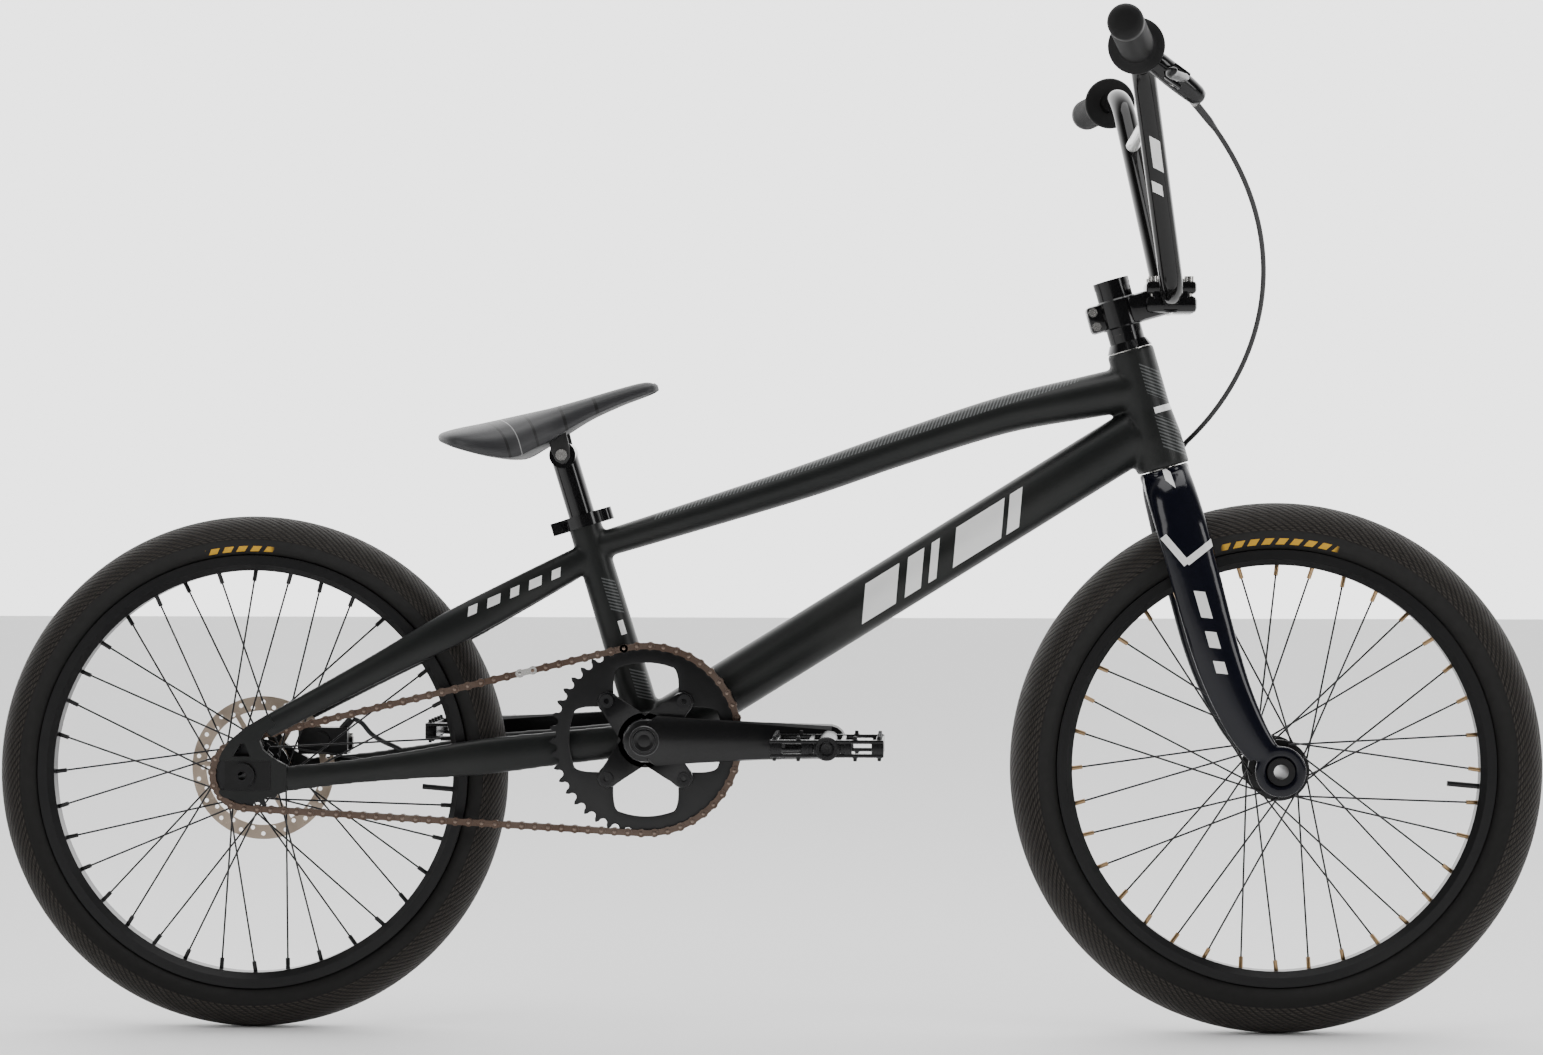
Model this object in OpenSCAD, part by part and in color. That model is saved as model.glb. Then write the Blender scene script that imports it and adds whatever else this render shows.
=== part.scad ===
// Race BMX bicycle, modelled as separate pieces on their real joints.
// Row frame: +X forward, +Z up, -Y the drive side. The floor is Z = 0.

/* [Overall] */
// Distance between the two wheel axles
wheelbase = 981; // [850:1:1200]
// Handlebar width, grip end to grip end
bar_width = 734; // [560:2:900]
// Rise of the grips above the stem's bar clamp
bar_rise = 208; // [150:1:250]
// Height of the front tyre above the rim's edge
front_tyre_h = 45; // [34:0.5:54]
// Height of the rear tyre above the rim's edge
rear_tyre_h = 38; // [30:0.5:50]

/* [Wheels] */
// Radius of the rim's outer edge (203 mm bead seat)
rim_r = 208.4; // [200:0.1:220]
// Radius of the rim's spoke bed
rim_bed_r = 193.7; // [180:0.1:198]
// Half width of the rim
rim_half_w = 14; // [12:0.5:18]
// Half width of the front tyre
front_tyre_half_w = 25; // [18:0.5:28]
// Half width of the rear tyre
rear_tyre_half_w = 22.5; // [18:0.5:26]
// Spokes on each wheel, an even number for each flange
spoke_count = 36; // [28:4:48]
// Spoke thickness
spoke_d = 1.8; // [1.6:0.1:2.3]
// Radius of the spoke holes in the hub flanges
spoke_hole_r = 26; // [20:0.5:30]
// Half distance between the front hub's flanges
front_flange_y = 33.3; // [25:0.1:36]
// Half distance between the rear hub's flanges
rear_flange_y = 29.9; // [24:0.1:32]
// Half thickness of a hub flange
flange_half = 1.7; // [1:0.1:3]

/* [Axles] */
// Half the space between the fork ends
front_old_half = 50; // [45:1:60]
// Half the space between the frame's rear ends
rear_old_half = 55; // [50:1:65]
// Front through axle diameter
front_axle_d = 20; // [12:0.5:24]
// Rear axle diameter
rear_axle_d = 15; // [10:0.5:18]
// Bore through the front axle
front_axle_bore = 14; // [8:0.5:17]
// Bore through the rear axle
rear_axle_bore = 8; // [5:0.5:11]
// Radial gap between turning and fixed pieces
turn_gap = 0.4; // [0.2:0.05:1]
// Gap between faces that are welded or clamped together
weld_gap = 0.05; // [0.02:0.01:0.1]

/* [Frame] */
// Bottom bracket, distance ahead of the rear axle
chainstay_run = 382; // [360:1:400]
// Bottom bracket, height above the rear axle
bb_rise = 34.4; // [20:0.2:50]
// Seat tube lean from upright
seat_tilt = 17; // [10:0.5:22]
// Seat tube length above the bottom bracket's centre
seat_len = 222; // [200:1:260]
// Seat tube outer radius at its top
seat_tube_r = 15.9; // [14:0.1:18]
// Head tube and steering lean from upright
head_tilt = 15.8; // [12:0.1:20]
// Head tube length
head_len = 117.3; // [90:0.1:140]
// Head tube radius at its foot
head_r = 25.4; // [24:0.1:30]
// Bottom bracket shell radius
bb_shell_r = 23; // [20:0.5:27]
// Bottom bracket shell half width
bb_shell_half = 36.5; // [34:0.5:45]
// Down tube half depth
down_tube_a = 25.8; // [20:0.2:30]
// Down tube half width
down_tube_b = 22; // [18:0.5:26]
// Wall thickness of the main tubes
tube_wall = 2.4; // [1.5:0.1:4]
// Thickness of the rear dropout plates
dropout_t = 8; // [5:0.5:12]

/* [Fork and stem] */
// Fork offset, steering axis to front axle
rake = 24.9; // [15:0.1:40]
// Space from the front tyre's top to the head tube's foot
crown_stack = 51.2; // [40:0.2:70]
// Steerer tube radius
steerer_r = 14.3; // [12.7:0.1:15.9]
// Height of the cover and spacers below the stem
spacer_low = 22.6; // [10:0.1:40]
// Height of the spacer above the stem
spacer_top = 12; // [3:0.5:30]
// Height of the stem's steerer clamp
stem_h = 28; // [24:0.5:40]
// Stem reach, steering axis to bar centre
stem_reach = 49.9; // [35:0.1:65]

/* [Bars and saddle] */
// Handlebar tube radius
bar_r = 11.1; // [10:0.1:12.7]
// Grip radius
grip_r = 15.9; // [14:0.1:18]
// Grip length with its flange
grip_len = 144; // [110:1:160]
// Seat post radius
post_r = 12.7; // [11:0.05:13.6]
// Height of the saddle clamp above the bottom bracket, along the post
post_top = 283; // [250:1:340]
// Saddle length
saddle_len = 212; // [180:1:240]

/* [Drivetrain] */
// Chain pitch
pitch = 12.7; // [12.7:0.1:12.8]
// Teeth on the chainring
ring_teeth = 44; // [36:1:48]
// Teeth on the cog
cog_teeth = 16; // [13:1:20]
// Chain centre line, distance from the bike's centre plane
chain_y = 43; // [40:0.5:48]
// Crank arm length
crank_len = 175; // [150:1:185]
// Chainring bolt circle radius
bolt_circle_r = 52; // [44:1:60]
// Crank spindle radius
spindle_r = 12; // [8:0.5:15]
// Bore radius through the crank spindle
spindle_bore_r = 9; // [5:0.5:11]
// Pedal axle radius
pedal_axle_r = 6; // [5:0.1:7.5]
// Pedal body length, front to back
pedal_len = 104; // [80:1:115]
// Pedal body width, along its axle
pedal_w = 98; // [80:1:110]

/* [Brake] */
// Brake rotor radius
rotor_r = 70; // [60:1:80]
// Rotor plane, distance from the bike's centre plane
rotor_y = 46; // [44:0.5:50]
// Rotor thickness
rotor_t = 1.8; // [1.5:0.1:2.5]
// Brake hose radius
hose_r = 2.5; // [2:0.1:3.5]

/* [Hidden] */
$fn = 64;
front_r = rim_r + front_tyre_h - 0.4;
rear_r = rim_r + rear_tyre_h - 0.4;
rear_x = -(wheelbase + front_r - rear_r) / 2;
front_x = rear_x + wheelbase;
bb_x = rear_x + chainstay_run;
bb_z = rear_r + bb_rise;
head_low = front_r + crown_stack;
head_top = head_low + head_len;
stem_z = head_top + spacer_low;
cap_z = stem_z + stem_h + spacer_top;
bar_z = stem_z + 16.6;
axle_front_r = front_axle_d / 2;
axle_rear_r = rear_axle_d / 2;
ring_r = pitch / (2 * sin(180 / ring_teeth));
cog_r = pitch / (2 * sin(180 / cog_teeth));
centres = norm([chainstay_run, bb_rise]);
stay_rise = atan2(bb_rise, chainstay_run);
wrap_tilt = asin((ring_r - cog_r) / centres);
run_up = stay_rise + 90 + wrap_tilt;
run_low = stay_rise - 90 - wrap_tilt;
grip_back = [-63, 0, bar_rise + 5.4];
bar_knee = [0, 50, 0];
bar_top = [-36.9, 165, bar_rise + 0.4];
bar_end = [grip_back[0], bar_width / 2, grip_back[2]];
crossbar_f = 0.75;
rotor_mid = rotor_y + rotor_t / 2;

function mix(a, b, t) = a + (b - a) * t;
function unit(v) = v / norm(v);
function seat_pt(s) = [bb_x - s * sin(seat_tilt), 0, bb_z + s * cos(seat_tilt)];
function head_pt(z, x = 0) = [
  front_x + (x - rake) * cos(head_tilt) - z * sin(head_tilt), 0,
  front_r + (x - rake) * sin(head_tilt) + z * cos(head_tilt)];

module at_head() translate([front_x, 0, front_r]) rotate([0, -head_tilt, 0]) translate([-rake, 0, 0]) children();
module at_seat() translate([bb_x, 0, bb_z]) rotate([0, -seat_tilt, 0]) children();
module at_bb() translate([bb_x, 0, bb_z]) children();
module at_rear() translate([rear_x, 0, rear_r]) children();
module at_front() translate([front_x, 0, front_r]) children();
module at_bar() at_head() translate([stem_reach, 0, bar_z]) rotate([0, head_tilt, 0]) children();

module sides() {
  children();
  mirror([0, 1, 0]) children();
}

// A round bar along Y from y0 to y1.
module across(r, y0, y1) translate([0, y1, 0]) rotate([90, 0, 0]) cylinder(r = r, h = y1 - y0);

// A flat plate in the XZ plane from y0 to y1.
module plate(y0, y1) translate([0, y1, 0]) rotate([90, 0, 0]) linear_extrude(y1 - y0) children();

// A turned piece about the Y axis; the profile holds [radius, y].
module turned() rotate([-90, 0, 0]) rotate_extrude() children();

// A tube's cross-section: place, lean from upright, half depth, half width.
module section(p, lean, a, b) translate(p) rotate([0, lean, 0])
  linear_extrude(1, center = true) scale([a, b]) circle(r = 1, $fn = 32);

// A straight bar between two points.
module straight(p, q, r) {
  z = unit(q - p);
  x = unit(cross(z, abs(z[1]) > 0.9 ? [1, 0, 0] : [0, 1, 0]));
  y = cross(z, x);
  multmatrix([[x[0], y[0], z[0], p[0]], [x[1], y[1], z[1], p[1]], [x[2], y[2], z[2], p[2]]])
    cylinder(r = r, h = norm(q - p));
}

// ---------------------------------------------------------------- frame

module head_outer() at_head() translate([0, 0, head_low]) rotate_extrude()
  polygon([[0, 0], [head_r, 0], [head_r, 30], [head_r - 3, 58], [head_r - 3, head_len], [0, head_len]]);

module head_tube() color("dimgray") difference() {
  head_outer();
  at_head() translate([0, 0, head_low - 1]) {
    cylinder(r = steerer_r + 2.6, h = head_len + 2);
    cylinder(r = steerer_r + 6.6, h = 9);
    translate([0, 0, head_len - 7]) cylinder(r = steerer_r + 6.6, h = 9);
  }
}

module seat_outer() at_seat() cylinder(r1 = seat_tube_r + 1.7, r2 = seat_tube_r, h = seat_len);

module bb_outer(grow = 0) at_bb() across(bb_shell_r, -bb_shell_half - grow, bb_shell_half + grow);

// Everything above the plane where the top and down tubes are mitred together.
module above_mitre() translate(head_pt(head_low + 64)) rotate([0, -20, 0])
  translate([-900, -60, 0]) cube([960, 120, 300]);

module top_hull(inset) {
  p = seat_pt(190);
  q = head_pt(head_low + 81.7);
  lean = atan2(q[0] - p[0], q[2] - p[2]);
  f = [0, 0.38, 0.56, 0.75, 0.9, 1];
  lift = [0, 3.2, 8.3, 10.9, 4.5, 0];
  a = [13.4, 16, 16.8, 18, 20.4, 22];
  b = [14.5, 18, 19, 20, 21, 21];
  for (i = [0:4]) hull() {
    section(mix(p, q, f[i]) + [0, 0, lift[i]], lean, a[i] - inset, b[i] - inset);
    section(mix(p, q, f[i + 1]) + [0, 0, lift[i + 1]], lean, a[i + 1] - inset, b[i + 1] - inset);
  }
}

module top_tube() color("dimgray") difference() {
  intersection() {
    difference() {
      top_hull(0);
      top_hull(tube_wall);
    }
    above_mitre();
  }
  head_outer();
  seat_outer();
}

module down_hull(inset) {
  p = [bb_x, 0, bb_z];
  q = head_pt(head_low + 42.3);
  lean = atan2(q[0] - p[0], q[2] - p[2]);
  hull() {
    section(p, lean, down_tube_a - inset, down_tube_b - inset);
    section(q, lean, down_tube_a - inset, down_tube_b - inset);
  }
}

module down_tube() color("dimgray") difference() {
  down_hull(0);
  down_hull(tube_wall);
  above_mitre();
  head_outer();
  bb_outer(1);
  seat_outer();
}

module seat_tube() color("dimgray") difference() {
  seat_outer();
  at_seat() translate([0, 0, 40]) cylinder(r = post_r + turn_gap, h = seat_len);
  bb_outer(1);
}

module bb_shell() color("dimgray") difference() {
  bb_outer();
  at_bb() across(spindle_r + 6, -60, 60);
}

module bb_cups() color("gray") at_bb() sides() {
  difference() {
    union() {
      across(spindle_r + 6, 24, bb_shell_half);
      across(spindle_r + 10.5, bb_shell_half, bb_shell_half + 10);
    }
    across(spindle_r + turn_gap, 20, 60);
  }
}

function stay_pt(f) = mix(seat_pt(184), [rear_x + 14, 0, rear_r + 41.4], f);

module stay_part(f, y, a, b) {
  p = seat_pt(184);
  q = stay_pt(1);
  section(stay_pt(f) + [0, y, 0], atan2(p[0] - q[0], p[2] - q[2]), a, b);
}

module seat_stays() color("dimgray") difference() {
  union() {
    sides() {
      hull() { stay_part(0.27, 22, 17, 8); stay_part(0.43, 40, 17.5, 8); }
      hull() { stay_part(0.43, 40, 17.5, 8); stay_part(0.62, 50, 13.6, 7.5); }
      hull() { stay_part(0.62, 50, 13.6, 7.5); stay_part(0.8, 55.5, 11.8, 6); }
      hull() { stay_part(0.8, 55.5, 11.8, 6); stay_part(0.98, 59, 11, 4); }
    }
    hull() sides() {
      stay_part(0.01, 7, 13.6, 8.5);
      stay_part(0.27, 22, 17, 8);
    }
  }
  seat_outer();
  dropout_solid(0.1);
}

function low_pt(f) = mix([bb_x, 0, bb_z], [rear_x + 24, 0, rear_r - 5], f);

module low_part(f, y, a, b) section(low_pt(f) + [0, y, 0],
  atan2(bb_x - rear_x - 24, bb_rise + 5), a, b);

module chain_stays() color("dimgray") difference() {
  union() {
    sides() {
      hull() { low_part(0.02, 27, 16, 8.5); low_part(0.25, 30, 16.5, 7.2); }
      hull() { low_part(0.25, 30, 16.5, 7.2); low_part(0.44, 40.5, 17.4, 7.8); }
      hull() { low_part(0.44, 40.5, 17.4, 7.8); low_part(0.63, 50, 13.6, 6.8); }
      hull() { low_part(0.63, 50, 13.6, 6.8); low_part(0.8, 56, 11.6, 5.6); }
      hull() { low_part(0.8, 56, 11.6, 5.6); low_part(0.96, 59, 12.6, 4); }
    }
    translate(low_pt(0.29)) across(9, -26, 26);
  }
  at_bb() across(bb_shell_r + weld_gap, -bb_shell_half - 3, bb_shell_half + 3);
  dropout_solid(0.1);
}

module dropout_shape() polygon([[-22.5, -17], [-22.5, 16], [-20, 22], [-12, 33.5], [3, 46], [24, 58.5],
  [32, 47], [20, 40], [16, 33], [19, 24.5], [29, 16.5], [42, 9.5], [42, -15], [28, -20], [12, -23.4],
  [-8, -23.4], [-18, -21]]);

module dropout_solid(grow) at_rear() sides()
  plate(rear_old_half - grow, rear_old_half + dropout_t + grow) dropout_shape();

module dropouts() color("dimgray") at_rear() sides()
  plate(rear_old_half, rear_old_half + dropout_t) difference() {
    dropout_shape();
    translate([-23, -14]) square([50, 28]);
    polygon([[-9, 18], [7, 18], [2, 30], [-2, 30]]);
  }

module axle_blocks() color("black") at_rear() sides()
  plate(rear_old_half, rear_old_half + dropout_t) difference() {
    translate([-17, -13.9]) square([43.8, 27.8]);
    circle(r = axle_rear_r);
  }

module rear_axle() color("black") at_rear() {
  difference() {
    union() {
      across(axle_rear_r, -rear_old_half - dropout_t, rear_old_half + dropout_t);
      sides() across(axle_rear_r + 4, rear_old_half - 4, rear_old_half);
      sides() across(12, rear_old_half + dropout_t, rear_old_half + dropout_t + 4);
    }
    across(rear_axle_bore / 2, -80, 80);
  }
}

module seat_clamp() color("black") {
  at_seat() translate([0, 0, seat_len - 11]) {
    difference() {
      union() {
        cylinder(r = seat_tube_r + 4.6, h = 12);
        translate([20, 0, 0]) cylinder(r = 9, h = 12);
        translate([-31, -9, 0]) cube([18, 18, 12]);
      }
      translate([0, 0, -1]) cylinder(r1 = seat_tube_r + 0.08, r2 = seat_tube_r, h = 12);
      cylinder(r = post_r + turn_gap, h = 20);
      translate([-32, -1, -1]) cube([22, 2, 14]);
      translate([-25, 0, 6]) across(2.6, -12, 12);
    }
    translate([-25, 0, 6]) {
      across(2.5, -9.1, 9);
      across(4.4, -13, -9.1);
    }
  }
}

module headset_bearings() color("silver") at_head() {
  for (z = [head_low, head_top - 8]) translate([0, 0, z]) difference() {
    cylinder(r = steerer_r + 6.6, h = 8);
    translate([0, 0, -1]) cylinder(r = steerer_r + turn_gap, h = 10);
  }
}

// ---------------------------------------------------------------- brake on the frame

pad_angle = 25;

module pads(grow) at_rear() for (y = [rotor_y - 0.4 - 3, rotor_y + rotor_t + 0.4])
  rotate([0, -pad_angle, 0]) translate([rotor_r - 16 - grow, y - grow, -9 - grow])
    cube([14 + 2 * grow, 3 + 2 * grow, 18 + 2 * grow]);

module brake_caliper() color("black") difference() {
  at_rear() union() {
    translate([36, rotor_mid - 10, 14]) cube([48, 20, 26]);
    translate([33, rotor_mid + 4, 18]) cube([54, 8, 12]);
    translate([58, 0, 27]) across(9, rotor_mid - 12.5, rotor_mid - 10);
    translate([78, rotor_mid - 3, 38]) rotate([0, 42, 0]) cylinder(r = 4, h = 14);
  }
  at_rear() across(rotor_r + 1.6, rotor_y - 0.9, rotor_y + rotor_t + 0.9);
  pads(0.02);
  caliper_screws(weld_gap);
  at_rear() for (x = [37, 83]) translate([x, rotor_mid + 8, 30]) cylinder(r = 4 + turn_gap, h = 11);
}

module caliper_screws(grow) at_rear() for (x = [37, 83]) translate([x, rotor_mid + 8, 16 - grow])
  cylinder(r = 2.4 + grow, h = 14 + 2 * grow);

module caliper_bolts() color("silver") {
  caliper_screws(0);
  at_rear() for (x = [37, 83]) translate([x, rotor_mid + 8, 30]) cylinder(r = 4, h = 4);
}

module brake_pads() color("peru") pads(0);

function bez(p, t) = pow(1 - t, 3) * p[0] + 3 * pow(1 - t, 2) * t * p[1]
  + 3 * (1 - t) * t * t * p[2] + pow(t, 3) * p[3];
hose_out = head_pt(bar_z, stem_reach) + [11.5, 189 - bar_width / 2, bar_rise - 44.6];
hose_in = head_pt(head_low + 18.4, head_r + 3.7) + [0, 14, 0];
hose_curve = [hose_out, hose_out + [109, 58, -116], hose_in + [67, -54, 65], hose_in];
hose_path = concat([for (i = [0:14]) bez(hose_curve, i / 14)],
  [head_pt(head_low + 13, 21.5) + [0, 25, 0], head_pt(head_low + 11, 6) + [0, 31, 0],
   head_pt(head_low + 14, -10) + [0, 29.5, 0], head_pt(head_low + 20, -27) + [0, 21, 0]]);
rear_hose_path = [for (p = [[89.2, -3, 50.5], [97, -1.5, 44], [106, 0, 33.5], [117, 3, 26], [130, 4, 20],
  [145, 3, 12]]) [rear_x, rotor_mid, rear_r] + p];

module hose(p) for (i = [0:len(p) - 2]) hull() {
  translate(p[i]) sphere(r = hose_r, $fn = 12);
  translate(p[i + 1]) sphere(r = hose_r, $fn = 12);
}

module brake_hose() color("black") {
  difference() {
    hose(hose_path);
    down_hull(-0.05);
  }
  difference() {
    hose(rear_hose_path);
    sides() {
      hull() { low_part(0.44, 40.5, 17.5, 7.9); low_part(0.63, 50, 13.7, 6.9); }
      hull() { low_part(0.63, 50, 13.7, 6.9); low_part(0.8, 56, 11.7, 5.7); }
    }
  }
}

// ---------------------------------------------------------------- chain

ring_wraps = floor((run_up - run_low) * ring_teeth / 360);
cog_wraps = floor((360 - run_up + run_low) * cog_teeth / 360);
function on_ring(i) = [bb_x, bb_z] + ring_r * [cos(run_up - i * 360 / ring_teeth), sin(run_up - i * 360 / ring_teeth)];
function on_cog(i) = [rear_x, rear_r] + cog_r * [cos(run_low - i * 360 / cog_teeth), sin(run_low - i * 360 / cog_teeth)];
low_run = round(norm(on_ring(ring_wraps) - on_cog(0)) / pitch);
up_run = round(norm(on_cog(cog_wraps) - on_ring(0)) / pitch);
chain_pts = concat([for (i = [0:ring_wraps]) on_ring(i)],
  [for (i = [1:low_run - 1]) mix(on_ring(ring_wraps), on_cog(0), i / low_run)],
  [for (i = [0:cog_wraps]) on_cog(i)],
  [for (i = [1:up_run - 1]) mix(on_cog(cog_wraps), on_ring(0), i / up_run)]);
links = len(chain_pts);

module chain_plate(p, q, y0, y1) sides() translate([p[0], 0, p[1]])
  rotate([0, -atan2(q[1] - p[1], q[0] - p[0]), 0]) plate(y0, y1)
    polygon([[-3.8, -1.8], [-2, -3.8], [pitch + 2, -3.8], [pitch + 3.8, -1.8],
      [pitch + 3.8, 1.8], [pitch + 2, 3.8], [-2, 3.8], [-3.8, 1.8]]);

module chain() color("saddlebrown") translate([0, -chain_y, 0]) for (i = [0:links - 1]) {
  step = i % 2 == 0 ? 0 : 1.1;
  last = i == links - 1 && links % 2 == 1 ? 2.2 : step;
  chain_plate(chain_pts[i], chain_pts[(i + 1) % links], 1.4 + last, 2.4 + last);
  translate([chain_pts[i][0], 0, chain_pts[i][1]]) across(3.8, -1.3, 1.3);
}

// ---------------------------------------------------------------- seat

module post_solid() at_seat() {
  translate([0, 0, 120]) cylinder(r = post_r, h = post_top - 120);
  translate([0, 0, post_top]) across(post_r, -15, 15);
}

module seat_post() color("black") difference() {
  post_solid();
  at_seat() {
    translate([0, 0, 119]) cylinder(r = post_r - 2.5, h = post_top - 140);
    translate([0, 0, post_top]) across(3.1, -20, 20);
  }
}

module seat_bolt() color("silver") at_seat() translate([0, 0, post_top]) {
  across(3, -21, 21);
  sides() across(5.5, 21, 25);
}

saddle_lean = 13.8;

module at_saddle() translate(seat_pt(post_top)) rotate([0, -saddle_lean, 0]) translate([-112, 0, 12]) children();

module blob(x, z, rx, ry, rz) translate([x, 0, z]) scale([rx, ry, rz]) sphere(r = 1, $fn = 32);

module saddle_form(k) {
  hull() {
    blob(24, 24, 22 - k, 60 - k, 13 - k);
    blob(70, 16, 26 - k, 50 - k, 20 - k);
    blob(112, 20, 20 - k, 26 - k, 16 - k);
  }
  hull() {
    blob(112, 20, 20 - k, 26 - k, 16 - k);
    blob(saddle_len - 14, 31, 14 - k, 17 - k, 7 - k);
  }
}

module saddle_cover() color("dimgray") intersection() {
  at_saddle() saddle_form(0);
  at_saddle() translate([-20, -80, 22]) cube([saddle_len + 40, 160, 60]);
}

module saddle_base() color("black") difference() {
  union() {
    intersection() {
      at_saddle() saddle_form(1.2);
      at_saddle() translate([-20, -80, -40]) cube([saddle_len + 40, 160, 62]);
    }
    at_saddle() sides() plate(15.3, 21) {
      translate([112, -12]) circle(r = 9);
      translate([104.5, -12]) square([15, 26]);
    }
  }
  at_seat() translate([0, 0, post_top]) {
    across(post_r + 0.3, -15.3, 15.3);
    across(3.05, -30, 30);
  }
}

// ---------------------------------------------------------------- steering

module steerer() color("silver") at_head() translate([0, 0, head_low - 24]) difference() {
  cylinder(r = steerer_r, h = cap_z - head_low + 21);
  translate([0, 0, 3]) cylinder(r = steerer_r - 2.4, h = cap_z);
}

module leg_part(x, y, z, a, b) section([x, y, z], 0, a, b);

module fork() color("midnightblue") at_head() difference() {
  union() {
    hull() {
      translate([0, 0, head_low - 3]) cylinder(r = head_r - 1.4, h = 1.8, $fn = 32);
      sides() leg_part(-1, 24, head_low - 24, 23, 15);
    }
    sides() {
      hull() { leg_part(-1, 24, head_low - 24, 23, 15); leg_part(-1.5, 43.5, head_low - 66, 24, 10); }
      hull() { leg_part(-1.5, 43.5, head_low - 66, 24, 10); leg_part(-3.2, 51, 128, 22.6, 8.6); }
      hull() { leg_part(-3.2, 51, 128, 22.6, 8.6); leg_part(8, 54, 16, 18, 4); }
      translate([rake, 0, 0]) across(24, front_old_half, front_old_half + 8);
    }
  }
  translate([0, 0, head_low - 24]) cylinder(r = steerer_r, h = 40);
  translate([rake, 0, 0]) across(axle_front_r, -70, 70);
  translate([rake, 0, 0]) sides() across(14, front_old_half + 6, 70);
}

module front_axle() color("black") at_front() difference() {
  union() {
    across(axle_front_r, -front_old_half - 6, front_old_half + 6);
    sides() across(axle_front_r + 4, front_old_half - 4, front_old_half);
    sides() across(13, front_old_half + 6, front_old_half + 10.4);
  }
  across(front_axle_bore / 2, -80, 80);
}

module ring(r, z0, z1) translate([0, 0, z0]) difference() {
  cylinder(r = r, h = z1 - z0);
  translate([0, 0, -1]) cylinder(r = steerer_r, h = z1 - z0 + 2);
}

module headset_cover() color("black") at_head() difference() {
  translate([0, 0, head_top + turn_gap]) cylinder(r1 = head_r - 3.4, r2 = 18, h = 8);
  cylinder(r = steerer_r, h = head_top + 50);
}

module spacers() color("black") at_head() {
  ring(17, head_top + turn_gap + 8, head_top + turn_gap + 15.9);
  ring(17, head_top + turn_gap + 16, stem_z);
  ring(17, stem_z + stem_h, cap_z);
}

module clamp_box(z0, z1) at_bar() translate([-23, -26, z0]) cube([48, 52, z1 - z0]);

module bolt_places() at_bar() for (x = [-16.5, 17.5], y = [-18, 18]) translate([x, y, 0]) children();

module stem() color("black") difference() {
  union() {
    at_head() translate([0, 0, stem_z]) {
      cylinder(r = 20, h = stem_h);
      linear_extrude(stem_h) polygon([[0, -20], [stem_reach - 16, -23], [stem_reach - 16, 23], [0, 20]]);
      translate([-31, -11, 0]) cube([20, 22, stem_h]);
    }
    clamp_box(-17, -1.2);
  }
  at_head() {
    cylinder(r = steerer_r, h = cap_z + 50);
    translate([-32, -1, stem_z - 1]) cube([24, 2, stem_h + 2]);
    for (z = [7, 21]) translate([-25, 0, stem_z + z]) across(2.55, -20, 20);
  }
  at_bar() {
    across(bar_r, -60, 60);
    translate([-24, -40, -1.2]) cube([60, 80, 40]);
  }
  bolt_places() translate([0, 0, -13]) cylinder(r = 3.02, h = 30);
}

module stem_cap() color("black") difference() {
  clamp_box(1.2, 18.5);
  at_bar() across(bar_r, -60, 60);
  bolt_places() {
    cylinder(r = 3.1, h = 30);
    translate([0, 0, 13]) cylinder(r = 4.8, h = 20);
  }
}

module stem_bolts() color("silver") {
  bolt_places() {
    translate([0, 0, -13]) cylinder(r = 3, h = 28);
    translate([0, 0, 13]) difference() {
      cylinder(r = 4.7, h = 5);
      translate([0, 0, 3]) cylinder(r = 2.6, h = 4, $fn = 6);
    }
  }
  at_head() for (z = [7, 21]) translate([-25, 0, stem_z + z]) {
    across(2.5, -11, 11);
    across(4.2, -14.5, -11);
  }
}

module top_cap() color("black") at_head() difference() {
  union() {
    translate([0, 0, cap_z]) cylinder(r = 17.3, h = 6.5);
    translate([0, 0, cap_z - 2]) cylinder(r = steerer_r - 2.8, h = 3);
  }
  translate([0, 0, cap_z + 3]) cylinder(r = 5, h = 9);
  translate([0, 0, cap_z - 5]) cylinder(r = 3, h = 19);
}

bend_low = 40;
bend_top = 50;
up_dir = unit(bar_top - bar_knee);
out_dir = unit(bar_end - bar_top);

// Places round a bend at corner v, arriving along u and leaving along w.
function arc(v, u, w, r) = let (turn = acos(u * w), m = unit(w - u * (u * w)), s = v - u * r * tan(turn / 2))
  [for (k = [0:4]) let (a = turn * k / 4) s + u * r * sin(a) + m * r * (1 - cos(a))];
bar_half = concat(arc(bar_knee, [0, 1, 0], up_dir, bend_low), arc(bar_top, up_dir, out_dir, bend_top),
  [bar_end - out_dir * (4.2 + bar_r)]);
bar_path = concat([for (i = [len(bar_half) - 1:-1:0]) [bar_half[i][0], -bar_half[i][1], bar_half[i][2]]], bar_half);

module bar_solid(r) for (i = [0:len(bar_path) - 2]) hull() {
  translate(bar_path[i]) sphere(r = r, $fn = 18);
  translate(bar_path[i + 1]) sphere(r = r, $fn = 18);
}

module handlebar() color("black") at_bar() difference() {
  bar_solid(bar_r - 0.02);
  bar_solid(bar_r - 1.7);
  sides() straight(bar_end - out_dir * 30, bar_end, bar_r - 2.4, $fn = 12);
}

module crossbar() color("lightgray") at_bar() {
  p = mix(bar_knee, bar_top, crossbar_f);
  difference() {
    translate([p[0], 0, p[2]]) across(6.35, -p[1], p[1]);
    sides() straight(bar_knee, bar_top, bar_r + 0.02);
  }
}

// The end of the right or left grip, with +Z running inward along the bar.
module at_grip() at_bar() {
  z = -out_dir;
  x = unit(cross(z, [0, 0, 1]));
  y = cross(z, x);
  multmatrix([[x[0], y[0], z[0], bar_end[0]], [x[1], y[1], z[1], bar_end[1]],
    [x[2], y[2], z[2], bar_end[2]]]) children();
}

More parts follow.
